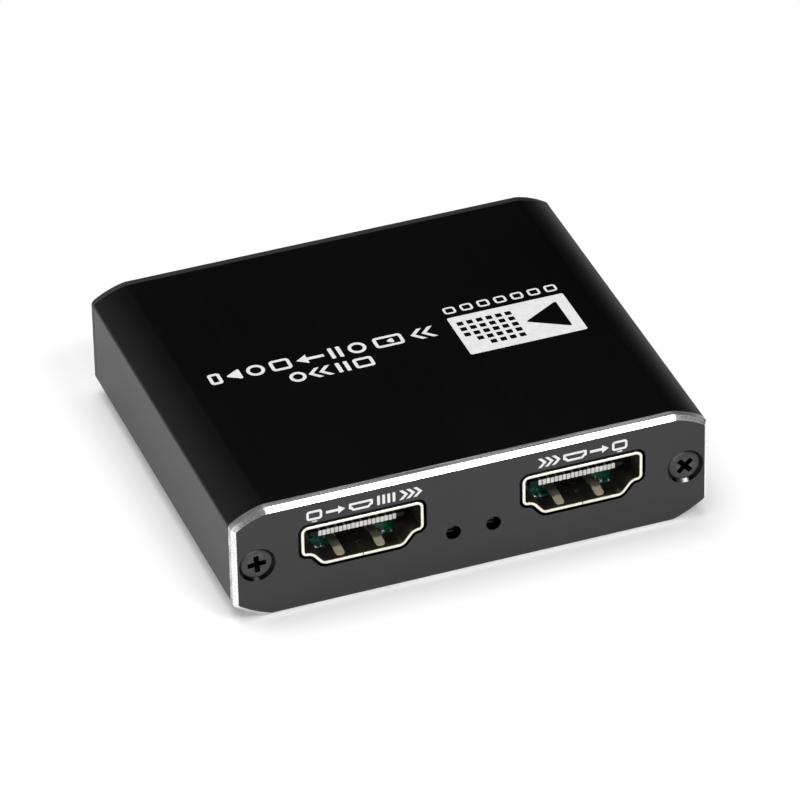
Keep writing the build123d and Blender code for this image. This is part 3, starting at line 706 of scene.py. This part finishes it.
# %% Build a plate from its loops
def build_plate(name, holes, rear, node):
    """Draws a plate that faces the front, and turns it round if it belongs at the rear."""
    facet_finish, side_finish, hole_wall = 1, 2, 3
    bm = bmesh.new()
    face_y, back_y = front_y, front_y + plate_thickness
    facet = loop_of(bm, body_outline, face_y + plate_bevel)
    rim = loop_of(bm, body_outline, back_y)
    lip = loop_of(bm, grown(body_outline, -plate_bevel), face_y)
    walled(bm, facet, lip, facet_finish)
    walled(bm, facet, rim, side_finish)
    fronts, backs = [], []
    for points in holes:
        fronts.append(loop_of(bm, points, face_y))
        backs.append(loop_of(bm, points, back_y))
        walled(bm, fronts[-1], backs[-1], hole_wall)
    sharp = [edge for loop in fronts for edge in loop]
    seat = ((2.2, face_y), (1.1, face_y + 1.1), (1.1, back_y))
    for side in sides:
        cone, throat, end = (loop_of(bm, circle_outline(side * screw_x, screw_z, radius), y)
                             for radius, y in seat)
        walled(bm, cone, throat, hole_wall)
        walled(bm, throat, end)
        fronts.append(cone)
        backs.append(end)
    filled(bm, lip, *fronts)
    filled(bm, rim, *backs)
    softened(bm, sharp, width=0.05)
    if rear:
        turned_round(bm)
    materials = [plate_black, cut_facet, plate_black if rear else bare_edge, hole_shade_and_highlight]
    finish_piece(name, bm, materials, [node])

# %% [markdown]
# The front has two openings shaped like a video plug, which has its lower corners drawn in so that
# it can go in only one way round, and two small holes for the lights. The rear has one opening for
# the data plug and a round one for each jack.

# %% Front and rear plates
video_half, video_height, video_shoulder = 7.37, 5.6, 1.65
data_half, data_height = 6.55, 5.72


def video_corners():
    """Corners of the mouth of a video socket, about the middle of its floor."""
    right_half = [(video_half, video_height, 0.8), (video_half, video_shoulder, 0.68),
                  (6.22, video_shoulder, 0.9), (4.87, 0, 1.1)]
    return right_half + [(-x, z, radius) for x, z, radius in reversed(right_half)]


video_outline = outline_from(video_corners())
data_outline = outline_from([(data_half, data_height, 0.6), (data_half, 0, 0.6),
                             (-data_half, 0, 0.6), (-data_half, data_height, 0.6)])
video_gap, data_gap, light_radius, collar_radius = 0.36, 0.3, 0.9, 2.65

front_holes = [shifted(grown(video_outline, video_gap), x, video_floor) for name, x in sockets]
front_holes += [circle_outline(side * light_x, light_z, light_radius, 32) for side in sides]
build_plate("front_cover", front_holes, False, "front_plate")

rear_holes = [shifted(grown(data_outline, data_gap), 0, board_top)]
rear_holes += [circle_outline(side * jack_x, jack_z, collar_radius) for side in sides]
build_plate("rear_cover", rear_holes, True, "rear_plate")

# %% [markdown]
# ## Screws
# A countersunk head is a short cone under a flat top. Turning its profile about the axis makes it
# in one step. The cross is cut out afterwards by two tapered bars, each screw at its own angle, as
# the driver left them.

# %% Build the screws
head_sunk = 0.2


def screw_shape(turn_angle):
    """One screw along Y with its head's face at zero, pointing to the rear."""
    bm = bmesh.new()
    profile = [(0, 0), (1.45, 0), (1.72, 0.035), (1.86, 0.13), (1.88, 0.2), (1.0, 1.0), (1.0, 5.6),
               (0.6, 6.0), (0, 6.0)]
    points = [bm.verts.new((x, y, 0)) for x, y in profile]
    edges = [bm.edges.new(pair) for pair in zip(points, points[1:])]
    bmesh.ops.spin(bm, geom=points + edges, cent=(0, 0, 0), axis=(0, 1, 0), angle=2 * math.pi,
                   steps=56, use_merge=True)
    bmesh.ops.remove_doubles(bm, verts=bm.verts[:], dist=0.0005)
    reach, half_width, above, depth, length_taper, width_taper = 1.27, 0.35, 0.3, 0.95, 0.5, 0.62
    for angle in (turn_angle, turn_angle + 90):
        cutter = bmesh.new()
        points = block(cutter, (-reach, -above, -half_width), (reach, depth, half_width))
        for point in points:
            if point.co.y > 0:
                point.co.x *= length_taper
                point.co.z *= width_taper
        rolled = Matrix.Rotation(-math.radians(angle), 3, "Y")
        bmesh.ops.rotate(cutter, verts=points, cent=(0, 0, 0), matrix=rolled)
        softened(cutter, cutter.edges[:], width=0.05, steps=1)
        carved(bm, cutter)
    # Painted shade: faces inside the cross recess get the second, near black material.
    for face in bm.faces:
        middle = face.calc_center_median()
        if middle.y > 0.02 and math.hypot(middle.x, middle.z) < reach + 0.03 - middle.y * 0.5:
            face.material_index = 1
    return bm


def build_screws(name, turns, rear, node):
    bm = bmesh.new()
    for side, angle in zip(sides, turns):
        screw = screw_shape(angle)
        moved(screw, side * screw_x, front_y + head_sunk, screw_z)
        mesh = mesh_of("screw", screw)
        screw.free()
        bm.from_mesh(mesh)
        bpy.data.meshes.remove(mesh)
    if rear:
        turned_round(bm)
    finish_piece(name, bm, [blackened, recess_shade], [node], crease=32)


build_screws("front_screws", (4, 42), False, "front_plate_screws")
build_screws("rear_screws", (42, 4), True, "rear_plate_screws")

# %% [markdown]
# ## Video sockets
# A socket's shell is one strip of sheet folded round until its ends meet under the floor. Folding
# a flat mesh would take many steps, and the result is a plain tube, so it is drawn as one. The
# mouth's edge is rounded, which makes the bright ring round each socket.

# %% Tube of folded sheet
def folded_tube(outer_outline, sheet, mouth_y, end_y):
    """A tube along Y with the outline's shape, whose mouth has rounded edges."""
    bm = bmesh.new()
    outer, inner = open_tube(bm, outer_outline, grown(outer_outline, -sheet), mouth_y, end_y)
    softened(bm, outer[0] + inner[0], width=0.05, steps=3)
    return bm


def paint_shade_inside(bm, middle_z):
    """Gives the faces that look at the tube's axis the second, darker finish, which is painted
    shade inside the socket.
    """
    face_outwards(bm)
    for face in bm.faces:
        from_axis = face.calc_center_median() - Vector((0, 0, middle_z))
        if from_axis.x * face.normal.x + from_axis.z * face.normal.z < -0.3:
            face.material_index = 1


def add_legs(bm, half, sheet, places, leg_half, leg_top):
    """Adds the shell's legs, which stand in its side walls and reach through the board."""
    for side in sides:
        for y in places:
            block(bm, (side * (half - sheet), y - leg_half, leg_bottom),
                  (side * half, y + leg_half, leg_top))

# %% [markdown]
# Windows stamped in the floor leave the spring fingers free and show the green board. The seam
# between the sheet's ends stays visible, with a square tab near the mouth that locks them. Windows
# and seam are cut out of the tube in one go, and legs are added that reach through the board.

# %% Shell of a video socket
video_sheet, video_depth = 0.36, 11.5
finger_x, leg_bottom, over = 2.45, 2.75, 0.5


def build_video_shell(side_name, x):
    mouth_y, end_y = front_y, front_y + video_depth
    bm = folded_tube(shifted(video_outline, 0, video_floor), video_sheet, mouth_y, end_y)
    cutter = bmesh.new()
    half_gap, tab_near, tab_far, tab_side = 0.05, mouth_y + 2.4, mouth_y + 3.9, 0.6
    seam = ((0, 0, mouth_y - over, tab_near), (0, tab_side, tab_near, tab_near),
            (tab_side, tab_side, tab_near, tab_far), (0, tab_side, tab_far, tab_far),
            (0, 0, tab_far, end_y + over))
    for left, right, near, far in seam:
        block(cutter, (left - half_gap, near - half_gap, video_floor - over),
              (right + half_gap, far + half_gap, video_floor + video_sheet + 0.3))
    finger_slot = (finger_x - 0.66, finger_x + 0.66, 0.48, 4.78)
    board_window = (3.1, 5.1, 2.7, 6.4)
    for side in sides:
        for left, right, near, far in (finger_slot, board_window):
            block(cutter, (side * left, mouth_y + near, video_floor - over),
                  (side * right, mouth_y + far, video_floor + 0.7))
    carved(bm, cutter)
    paint_shade_inside(bm, video_floor + video_height / 2)
    add_legs(bm, video_half, video_sheet, (mouth_y + 3.2, mouth_y + 9.6), leg_half=0.9, leg_top=8.2)
    moved(bm, x)
    finish_piece(side_name + "_shell", bm, [nickel, shell_inside_shade],
                 [side_name + "_socket_shell"])


for side_name, x in sockets:
    build_video_shell(side_name, x)

# %% [markdown]
# Each spring finger is a strip with a rounded end. It rises to a crest, where it presses on the
# plug, and falls back to its root. The strip is drawn flat, cut across into short lengths, and
# then bent by moving its points, so that the bend is a curve and not a fold.

# %% Spring fingers of the video sockets
def strip_height(share, rise, crest_share):
    """Height of a bent strip at a share of its length from tip to root."""
    side_share = share / crest_share if share < crest_share else (1 - share) / (1 - crest_share)
    return rise * (0.5 - 0.5 * math.cos(math.pi * min(side_share, 1)))


def bent_strip(width, tip_y, root_y, middle_z, rise, crest_share, thickness=0.2, tip_radius=0.5):
    """A strip along Y that is drawn flat, cut across, bent and thickened."""
    bm = bmesh.new()
    half, cuts = width / 2, 24
    corners = [(-half, root_y, 0), (half, root_y, 0), (half, tip_y, tip_radius),
               (-half, tip_y, tip_radius)]
    bm.faces.new([bm.verts.new((point.x, point.z, 0)) for point in outline_from(corners, 10)])
    for number in range(1, cuts):
        place = (0, tip_y + (root_y - tip_y) * number / cuts, 0)
        bmesh.ops.bisect_plane(bm, geom=bm.faces[:] + bm.edges[:] + bm.verts[:], plane_co=place,
                               plane_no=(0, 1, 0))
    for point in bm.verts:
        share = (point.co.y - tip_y) / (root_y - tip_y)
        point.co.z = middle_z - thickness / 2 + strip_height(share, rise, crest_share)
    made = bmesh.ops.extrude_face_region(bm, geom=bm.faces[:])
    raised = [piece for piece in made["geom"] if isinstance(piece, bmesh.types.BMVert)]
    bmesh.ops.translate(bm, verts=raised, vec=(0, 0, thickness))
    face_outwards(bm)
    fold = math.radians(50)
    sharp = [edge for edge in bm.edges if edge.is_manifold and edge.calc_face_angle() > fold]
    softened(bm, sharp, width=0.04)
    return bm


for side_name, socket_x in sockets:
    for hand, side in (("left", -1), ("right", 1)):
        finger = bent_strip(width=1.08, tip_y=front_y + 0.6, root_y=front_y + 4.7,
                            middle_z=video_floor + 0.26, rise=0.28, crest_share=0.54)
        moved(finger, socket_x + side * finger_x)
        finish_piece(f"{side_name}_finger_strip_{hand}", finger, [finger_strip_shaded_to_root],
                     [f"{side_name}_socket_finger_{hand}"], f"{side_name}_finger_{hand}", crease=35)

# %% [markdown]
# The tongue is moulded with the socket's rear wall. Its front edge is chamfered so that the plug
# finds its way. Three closed shapes stand for the one moulding, since the joints between them
# can't be seen.

# %% Tongue blocks of the video sockets
tongue_y, tongue_half, tongue_bottom, tongue_top = front_y + 1.95, 5.75, 8.27, 8.89


def build_video_body(side_name, x):
    bm = bmesh.new()
    wall_y, shell_end, foot_end = front_y + 8.9, front_y + video_depth, front_y + 13.2
    foot_half, foot_height = 6.7, 4.6
    prism(bm, grown(shifted(video_outline, 0, video_floor), -video_sheet - 0.03), wall_y, shell_end)
    block(bm, (-foot_half, shell_end, board_top), (foot_half, foot_end, board_top + foot_height))
    block(bm, (-tongue_half, tongue_y, tongue_bottom), (tongue_half, wall_y + 0.1, tongue_top))
    face_outwards(bm)
    nose = [edge for edge in bm.edges if all(point.co.y < front_y + 2 for point in edge.verts)]
    softened(bm, nose, width=0.12, steps=3)
    moved(bm, x)
    finish_piece(side_name + "_tongue_block", bm, [socket_black],
                 [side_name + "_socket_body"])


for side_name, x in sockets:
    build_video_body(side_name, x)

# %% [markdown]
# Nineteen contacts wrap the tongue's front edge and run back along it, by turns above and below.
# Seen from the front their tips are one even comb. Behind the body they drop to the board. Each is
# four small blocks, because its bends are too small to show.

# %% Contacts of the video sockets
def build_video_contacts(side_name, x):
    bm = bmesh.new()
    tip_y, drop_y, foot_end = tongue_y - 0.1, front_y + 13.26, front_y + 14.4
    tip_half, run_half, pitch, run, foot, lap = 0.22, 0.14, 0.5, 0.08, 0.12, 0.05
    for number in range(19):
        middle = (number - 9) * pitch
        low = tongue_top if number % 2 == 0 else tongue_bottom - run
        high = low + run
        for half, start, end in (
                (tip_half, (tip_y, tongue_bottom - lap), (tongue_y, tongue_top + lap)),
                (run_half, (tip_y, low), (drop_y, high)),
                (run_half, (drop_y - foot, board_top), (drop_y, high)),
                (run_half, (drop_y - foot, board_top), (foot_end, board_top + foot))):
            block(bm, (middle - half, *start), (middle + half, *end))
    softened(bm, bm.edges[:], width=0.025, steps=1)
    moved(bm, x)
    finish_piece(side_name + "_contact_comb", bm, [contact_metal],
                 [side_name + "_socket_contacts"])


for side_name, x in sockets:
    build_video_contacts(side_name, x)

# %% [markdown]
# Through the windows of each shell the board shows, with beads of solder at each window's front
# edge, where the shell is tied to the ground of the board. A bead is a sphere that is stretched
# and sunk halfway into the board.

# %% Beads of solder
def build_solder_beads():
    bm = bmesh.new()
    beads = ((-4.4, 0.42, 4.0), (-3.7, 0.16, 4.1), (3.85, 0.36, 4.15), (4.8, 0.24, 4.0))
    for side_name, socket_x in sockets:
        for offset, width, depth in beads:
            place = Matrix.Translation((socket_x + offset, front_y + depth, board_top + 0.02))
            bead = bmesh.ops.create_uvsphere(bm, u_segments=16, v_segments=10, radius=1,
                                             matrix=place)["verts"]
            bmesh.ops.scale(bm, verts=bead, vec=(width, 0.26, 0.34), space=place.inverted())
    finish_piece("solder_beads", bm, [solder])


build_solder_beads()

# %% [markdown]
# ## Data socket
# The data socket is a plain rectangle of the same folded sheet. Two spring strips hang in slots of
# its ceiling and press the plug down on the floor. They are made as the fingers of the video
# sockets are, so the same helper bends them, but downwards.

# %% Data socket
data_sheet, data_depth, data_leg_depth, data_finger_x = 0.3, 14.0, 5.0, 3.2
data_ceiling = board_top + data_height


def build_data_shell():
    bm = folded_tube(shifted(data_outline, 0, board_top), data_sheet, rear_y, rear_y - data_depth)
    cutter = bmesh.new()
    slot_half, slot_start, slot_end = 0.95, rear_y - 2.12, rear_y - 6.75
    for side in sides:
        block(cutter, (side * data_finger_x - slot_half, slot_end, data_ceiling - 0.6),
              (side * data_finger_x + slot_half, slot_start, data_ceiling + 0.3))
    half_gap, seam_end = 0.05, rear_y - data_depth - over
    block(cutter, (-half_gap, seam_end, board_top - 0.3),
          (half_gap, rear_y + over, board_top + 0.5))
    carved(bm, cutter)
    paint_shade_inside(bm, board_top + data_height / 2)
    add_legs(bm, data_half, data_sheet, [rear_y - data_leg_depth], leg_half=1.1, leg_top=7.9)
    finish_piece("data_shell", bm, [nickel, shell_inside_shade], ["data_socket_shell"])


build_data_shell()
for hand, side in (("left", 1), ("right", -1)):
    finger = bent_strip(width=1.6, tip_y=rear_y - 6.6, root_y=rear_y - 2.2,
                        middle_z=data_ceiling - 0.15, rise=-0.35, crest_share=0.27)
    moved(finger, side * data_finger_x)
    finish_piece(f"data_finger_strip_{hand}", finger, [spring_strip],
                 [f"data_socket_finger_{hand}"], f"data_finger_{hand}", crease=35)

# %% [markdown]
# ## Small parts on the board
# Capacitors, resistors and surge arrays are tiny bricks with a tinned cap on each end, which is
# soldered to the board. The measured nodes are plain bricks, so each is rebuilt between the
# corners of its brick. To find the bricks, we walk from point to point along the edges.

# %% Bricks of a node
def bricks_of(node_name):
    """Lowest and highest corner of each loose solid of a node, in millimetres."""
    bm = bmesh.new()
    bm.from_mesh(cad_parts[node_name].data)
    bmesh.ops.remove_doubles(bm, verts=bm.verts[:], dist=0.002 * millimetre)
    waiting, bricks = set(bm.verts), []
    while waiting:
        front, found = [waiting.pop()], []
        while front:
            point = front.pop()
            found.append(point.co / millimetre)
            near = {edge.other_vert(point) for edge in point.link_edges} & waiting
            waiting -= near
            front.extend(near)
        bricks.append([Vector(map(pick, *found)) for pick in (min, max)])
    bm.free()
    return sorted(bricks, key=lambda brick: tuple(brick[0]))

# %% [markdown]
# Each part is three blocks: a body and two caps. The body is a little slimmer and lower than its
# caps, because tin builds up on them. The three kinds of part differ only in material, so one
# function makes them all.

# %% Parts with tinned ends
def build_capped_parts(name, node, material, cap=0.3, proud=0.03):
    bm = bmesh.new()
    for low, high in bricks_of(node):
        block(bm, low + Vector((cap, proud, 0)), high - Vector((cap, proud, proud)))
        left_cap = low, Vector((low.x + cap, high.y, high.z))
        right_cap = Vector((high.x - cap, low.y, low.z)), high
        for corners in (left_cap, right_cap):
            for face in {face for point in block(bm, *corners) for face in point.link_faces}:
                face.material_index = 1
    softened(bm, bm.edges[:], width=0.05)
    finish_piece(name, bm, [material, solder], [node])


build_capped_parts("capped_capacitors", "capacitors", ceramic)
build_capped_parts("capped_resistors", "resistors", resistor_glaze)
build_capped_parts("capped_surge_arrays", "surge_arrays", package_resin)

# %% [markdown]
# ## Printing
# The front and the top carry white print: plain pictures such as a screen, a plug, arrows and
# bars. Real ink stands about a hundredth of a millimetre proud. An image texture would turn soft
# close up, so each shape is a very thin solid that sits in the surface and comes out by that much.

# %% Print helpers
ink_height = 0.01


def polygon(corners):
    return [[Vector((x, 0, z)) for x, z in corners]]


def bar(x, z, width, height, radius=0.12):
    """A filled bar with round corners, from its lower left corner."""
    corners = [(x, z), (x + width, z), (x + width, z + height), (x, z + height)]
    return [outline_from([(*corner, radius) for corner in corners], 4)]


def frame_shape(x, z, width, height, stroke=0.3, radius=0.36):
    """A frame with round corners, as for a screen."""
    inner = (x + stroke, z + stroke, width - stroke * 2, height - stroke * 2)
    return bar(x, z, width, height, radius) + bar(*inner, max(radius - stroke, 0.05))


def chevron(x, z, height, stroke=0.45):
    """An open arrow that points right, from its lower left corner."""
    reach, top = height / 2, z + height
    return polygon([(x, z), (x + stroke, z), (x + stroke + reach, z + reach), (x + stroke, top),
                    (x, top), (x + reach, z + reach)])


def arrow(x, z, length, height, stroke=0.36):
    """A closed arrow on a stem that points right."""
    middle, head, half = z + height / 2, x + length - height * 0.75, stroke / 2
    return polygon([(x, middle - half), (head, middle - half), (head, z), (x + length, middle),
                    (head, z + height), (head, middle + half), (x, middle + half)])


def plug_shape(x, z, width, stroke=0.3):
    """The outline of a video plug, scaled down to a picture."""
    scale = width / (2 * video_half)
    corners = [(x + width / 2 + cx * scale, z + cz * scale, radius * scale)
               for cx, cz, radius in video_corners()]
    return [outline_from(corners, 4), outline_from(corners, 4, stroke)]


def repeated(count, step, shape, x, *sizes):
    """Copies of one shape in a row."""
    return [shape(x + number * step, *sizes) for number in range(count)]


def print_shapes(name, shapes, place):
    """Makes thin solids of shapes drawn in the XZ plane and lays them on a surface."""
    bm = bmesh.new()
    for loops in shapes:
        ends = [[loop_of(bm, points, y) for points in loops] for y in (-ink_height, ink_height)]
        for end in ends:
            filled(bm, *end)
        for first, second in zip(*ends):
            walled(bm, first, second)
    face_outwards(bm)
    bmesh.ops.transform(bm, verts=bm.verts[:], matrix=place)
    finish_piece(name, bm, [ink])

# %% [markdown]
# Each socket has one row of pictures over it. The left row runs from a screen to a plug, the right
# row from a plug to a screen. Both rows are drawn by the same function, which sets the pictures in
# one order or the other.

# %% Print on the front
def front_row(x, outward):
    """Small pictures over a socket: screen, arrow and plug, from the screen or towards it."""
    z, height = 12.0, 1.3
    screen, stem, plug, chevrons = (0, 2.35, 5.1, 11.15) if outward else (9.1, 6.4, 3.1, 0)
    foot = bar(x + screen + 0.62, z - 0.28, 0.66, 0.16, 0.06)
    shapes = [frame_shape(x + screen, z, 1.9, height), foot,
              arrow(x + stem, z + 0.1, 2.3, height - 0.2), plug_shape(x + plug, z, 2.9)]
    if outward:
        shapes += repeated(4, 0.62, bar, x + 8.5, z, 0.34, height, 0.1)
    return shapes + repeated(3, 0.85, chevron, x + chevrons, z, height)


front_place = Matrix.Translation((0, front_y, 0))
print_shapes("front_print", front_row(-20.1, True) + front_row(7.9, False), front_place)

# %% [markdown]
# The top is printed to be read from the rear. A solid block holds a play sign and a grid of small
# squares, which stand for the fine grid of a sharp picture. Beside it run two rows of plain
# pictures. They are drawn upright, as on a page, and one matrix lays them on the top.

# %% Print on the top
def ring_shape(x, z, size, stroke=0.42):
    """A ring inside a square, from its lower left corner."""
    half = size / 2
    return [circle_outline(x + half, z + half, radius, 32) for radius in (half, half - stroke)]


def play_sign(x, z, size):
    """A triangle that points right, with round corners."""
    corners = (x, z), (x + size * 0.86, z + size / 2), (x, z + size)
    return [outline_from([(*corner, 0.2) for corner in corners], 4)]


def picture_block():
    """The solid block on the top, with its play sign and its grid of squares left open."""
    holes = play_sign(-20.9, -2.05, 5.6)
    for column in range(6):
        for row in range(5):
            if column + row < 8:
                holes += bar(-15.2 + column * 1.2, -2.1 + row * 1.2, 0.78, 0.78, 0.08)
    return bar(-22.3, -3.3, 14.6, 8.1, 0.25) + holes


def top_shapes():
    """Shapes on the top, drawn as seen from the rear: right is towards the left socket."""
    low, tall, second, short, stroke = -2.6, 2.2, 0.6, 2.0, 0.42
    shapes = [picture_block(), *repeated(7, 2.12, frame_shape, -22.1, -5.5, 1.5, 1.4, 0.28, 0.4)]
    shapes += repeated(2, 1.35, chevron, -5.6, low, tall, 0.6)
    shapes += [frame_shape(-1.6, low, 3.6, tall, stroke, 0.5), play_sign(-0.4, low + 0.55, 1.15)]
    shapes += [ring_shape(3.0, low, tall), *repeated(2, 1.0, bar, 6.0, low, 0.5, tall)]
    shapes += [arrow(8.2, low + 0.2, 3.4, tall - 0.4, 0.5),
               frame_shape(12.3, low, 2.5, tall, stroke, 0.5),
               ring_shape(15.5, low, tall), play_sign(18.4, low, tall),
               frame_shape(20.8, low, 1.5, tall, stroke, 0.4),
               frame_shape(3.2, second, 2.4, short, stroke, 0.4)]
    shapes += repeated(2, 1.0, bar, 6.2, second, 0.5, short)
    shapes += repeated(2, 1.3, chevron, 8.3, second, short, 0.6)
    return shapes + [ring_shape(11.5, second, short)]


lying_down = Matrix(((-1, 0, 0), (0, 0, -1), (0, -1, 0))).to_4x4()
print_shapes("top_print", top_shapes(), Matrix.Translation((0, 0, box_height)) @ lying_down)

# %% [markdown]
# ## Nodes that keep their measured mesh
# Pieces that sit deep inside keep the mesh of the measured model. Its triangles are loose, so a
# Weld modifier joins them before a Bevel breaks their edges. Modifiers leave the measured mesh
# itself alone.

# %% Dress the measured nodes
def dress(node_name, material, edge_width):
    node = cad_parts[node_name]
    node.data.materials.clear()
    node.data.materials.append(material)
    weld = node.modifiers.new("join triangles", "WELD")
    weld.merge_threshold = 0.002 * millimetre
    bevel = node.modifiers.new("break edges", "BEVEL")
    bevel.width = edge_width * millimetre
    bevel.segments = 2
    bevel.limit_method = "ANGLE"
    bevel.angle_limit = math.radians(40)
    print(f"{node_name}: {material.name}, edges broken by {edge_width} mm")


for names, material, edge_width in (
        ("data_socket_contacts mic_jack_terminals audio_jack_terminals", contact_metal, 0.025),
        ("mic_jack_leaf audio_jack_leaf", spring_strip, 0.04),
        ("voltage_regulators", package_resin, 0.04), ("power_inductors", ferrite, 0.04),
        ("clock_crystals", crystal_lid, 0.04), ("data_socket_body", data_blue, 0.04),
        ("power_light signal_light", clear_resin, 0.04), ("main_board", board_green, 0.08),
        ("mic_jack_body audio_jack_body", socket_black, 0.1)):
    for name in names.split():
        dress(name, material, edge_width)
lead, no_lead = 0.9, 0
for name, reach in (("capture_chip", (lead, lead)), ("splitter_chip", (lead, lead)),
                    ("memory_chip", (lead, no_lead)), ("audio_chip", (lead, no_lead))):
    dress(name, chip_finish(name, reach), 0.02)

# %% [markdown]
# ## Floor and light
# The box stands on a white sweep with a faint glow, so that its shadows stay light. Further out
# the floor fades to an even white for the camera, as a lit backdrop does, and to three quarters of
# that for reflections, and it throws no more light on the box for that. The kind of ray tells the
# material what looks at it.

# %% Floor
def build_floor():
    bm = bmesh.new()
    bmesh.ops.create_grid(bm, x_segments=2, y_segments=2, size=2.5)
    floor = add_object("floor", mesh_of("floor", bm))
    bm.free()
    material = bpy.data.materials.new("white floor")
    material.use_nodes = True
    tree = material.node_tree
    shader = tree.nodes["Principled BSDF"]
    for socket, value in (("Base Color", (0.88, 0.88, 0.88, 1)), ("Roughness", 0.9),
                          ("Specular IOR Level", 0.0), ("Emission Color", (1, 1, 1, 1)),
                          ("Emission Strength", 0.14)):
        shader.inputs[socket].default_value = value
    place = add_node(tree, "ShaderNodeTexCoord", {}, {}, "Object")
    distance = add_node(tree, "ShaderNodeVectorMath", {"operation": "LENGTH"}, {0: place}, "Value")
    reach = {"Value": distance, "From Min": 0.04, "From Max": 0.085, "To Min": 0.0, "To Max": 1.0}
    far = add_node(tree, "ShaderNodeMapRange", {"interpolation_type": "SMOOTHSTEP"}, reach)
    camera_ray, mirror_ray, clear_ray = (
        add_node(tree, "ShaderNodeLightPath", {}, {}, name)
        for name in ("Is Camera Ray", "Is Glossy Ray", "Is Transmission Ray"))
    seen = camera_ray.larger(mirror_ray * 0.75).larger(clear_ray)
    glow = add_node(tree, "ShaderNodeEmission", {}, {"Color": (1, 1, 1, 1), "Strength": 1.0})
    lit = Wire(tree, shader.outputs[0])
    blend = add_node(tree, "ShaderNodeMixShader", {}, {0: far * seen, 1: lit, 2: glow})
    tree.links.new(blend.socket, tree.nodes["Material Output"].inputs["Surface"])
    floor.data.materials.append(material)
    print("floor:", round(floor.dimensions.x, 2), "m wide")


build_floor()

# %% [markdown]
# Bright metal shows what it mirrors, so each lamp is placed by the facet that should show it. The
# key softbox stands where the top bevel mirrors it to the camera, and draws the bright line there,
# and its shoulder lets that line fade out. Weak fills serve the corner facets and the right corner
# cut, a glow at the left rear the left one. Broad lamps light the matte front and the left wall,
# and one overhead lights the floor and sets the soft shadow. Elsewhere behind the box it is dark,
# so that the top stays black.

# %% Lamps
def softbox(name, direction, distance, width, height, power):
    """A rectangular lamp that looks at the box from a direction. Lengths are in metres."""
    lamp_data = bpy.data.lights.new(name, "AREA")
    lamp_data.shape = "RECTANGLE"
    lamp_data.size, lamp_data.size_y = width, height
    lamp_data.energy = power
    lamp = add_object(name, lamp_data)
    away = Vector(direction).normalized()
    aimed = away.to_track_quat("Z", "Y").to_matrix().to_4x4()
    lamp.matrix_world = Matrix.Translation(away * distance) @ aimed
    lamp.visible_camera = False
    print(f"{name}: {power} W")


softbox("key softbox", (0.28, -0.564, 0.776), 0.9, 0.34, 0.2, 2.2)
softbox("key shoulder", (0.46, -0.522, 0.72), 0.9, 0.22, 0.2, 0.1)
softbox("corner fill", (-0.297, -0.629, 0.718), 1.0, 0.6, 0.6, 0.2)
softbox("front softbox", (-0.1, -0.95, 0.3), 1.2, 1.0, 0.5, 6)
softbox("left softbox", (-0.85, -0.42, 0.36), 1.0, 1.0, 0.7, 1.35)
softbox("right fill", (0.74, -0.42, 0.53), 1.0, 0.45, 0.6, 0.24)
softbox("left rear glow", (-0.6, 0.62, 0.5), 1.2, 1.0, 0.9, 2.1)
softbox("overhead", (-0.12, 0.16, 1), 1.0, 0.8, 0.8, 8)

# %% [markdown]
# Past the floor's edge the camera sees a white world. For every other ray that world is almost
# dark, so that it can't make the black top grey. The Standard view transform keeps white white.

# %% Surroundings
world = bpy.data.worlds.new("studio")
bpy.context.scene.world = world
world.use_nodes = True
backdrop = world.node_tree.nodes["Background"]
camera_ray = add_node(world.node_tree, "ShaderNodeLightPath", {}, {}, "Is Camera Ray")
world.node_tree.links.new((camera_ray * 0.985 + 0.015).socket, backdrop.inputs["Strength"])
backdrop.inputs["Color"].default_value = (1, 1, 1, 1)
bpy.context.scene.view_settings.view_transform = "Standard"
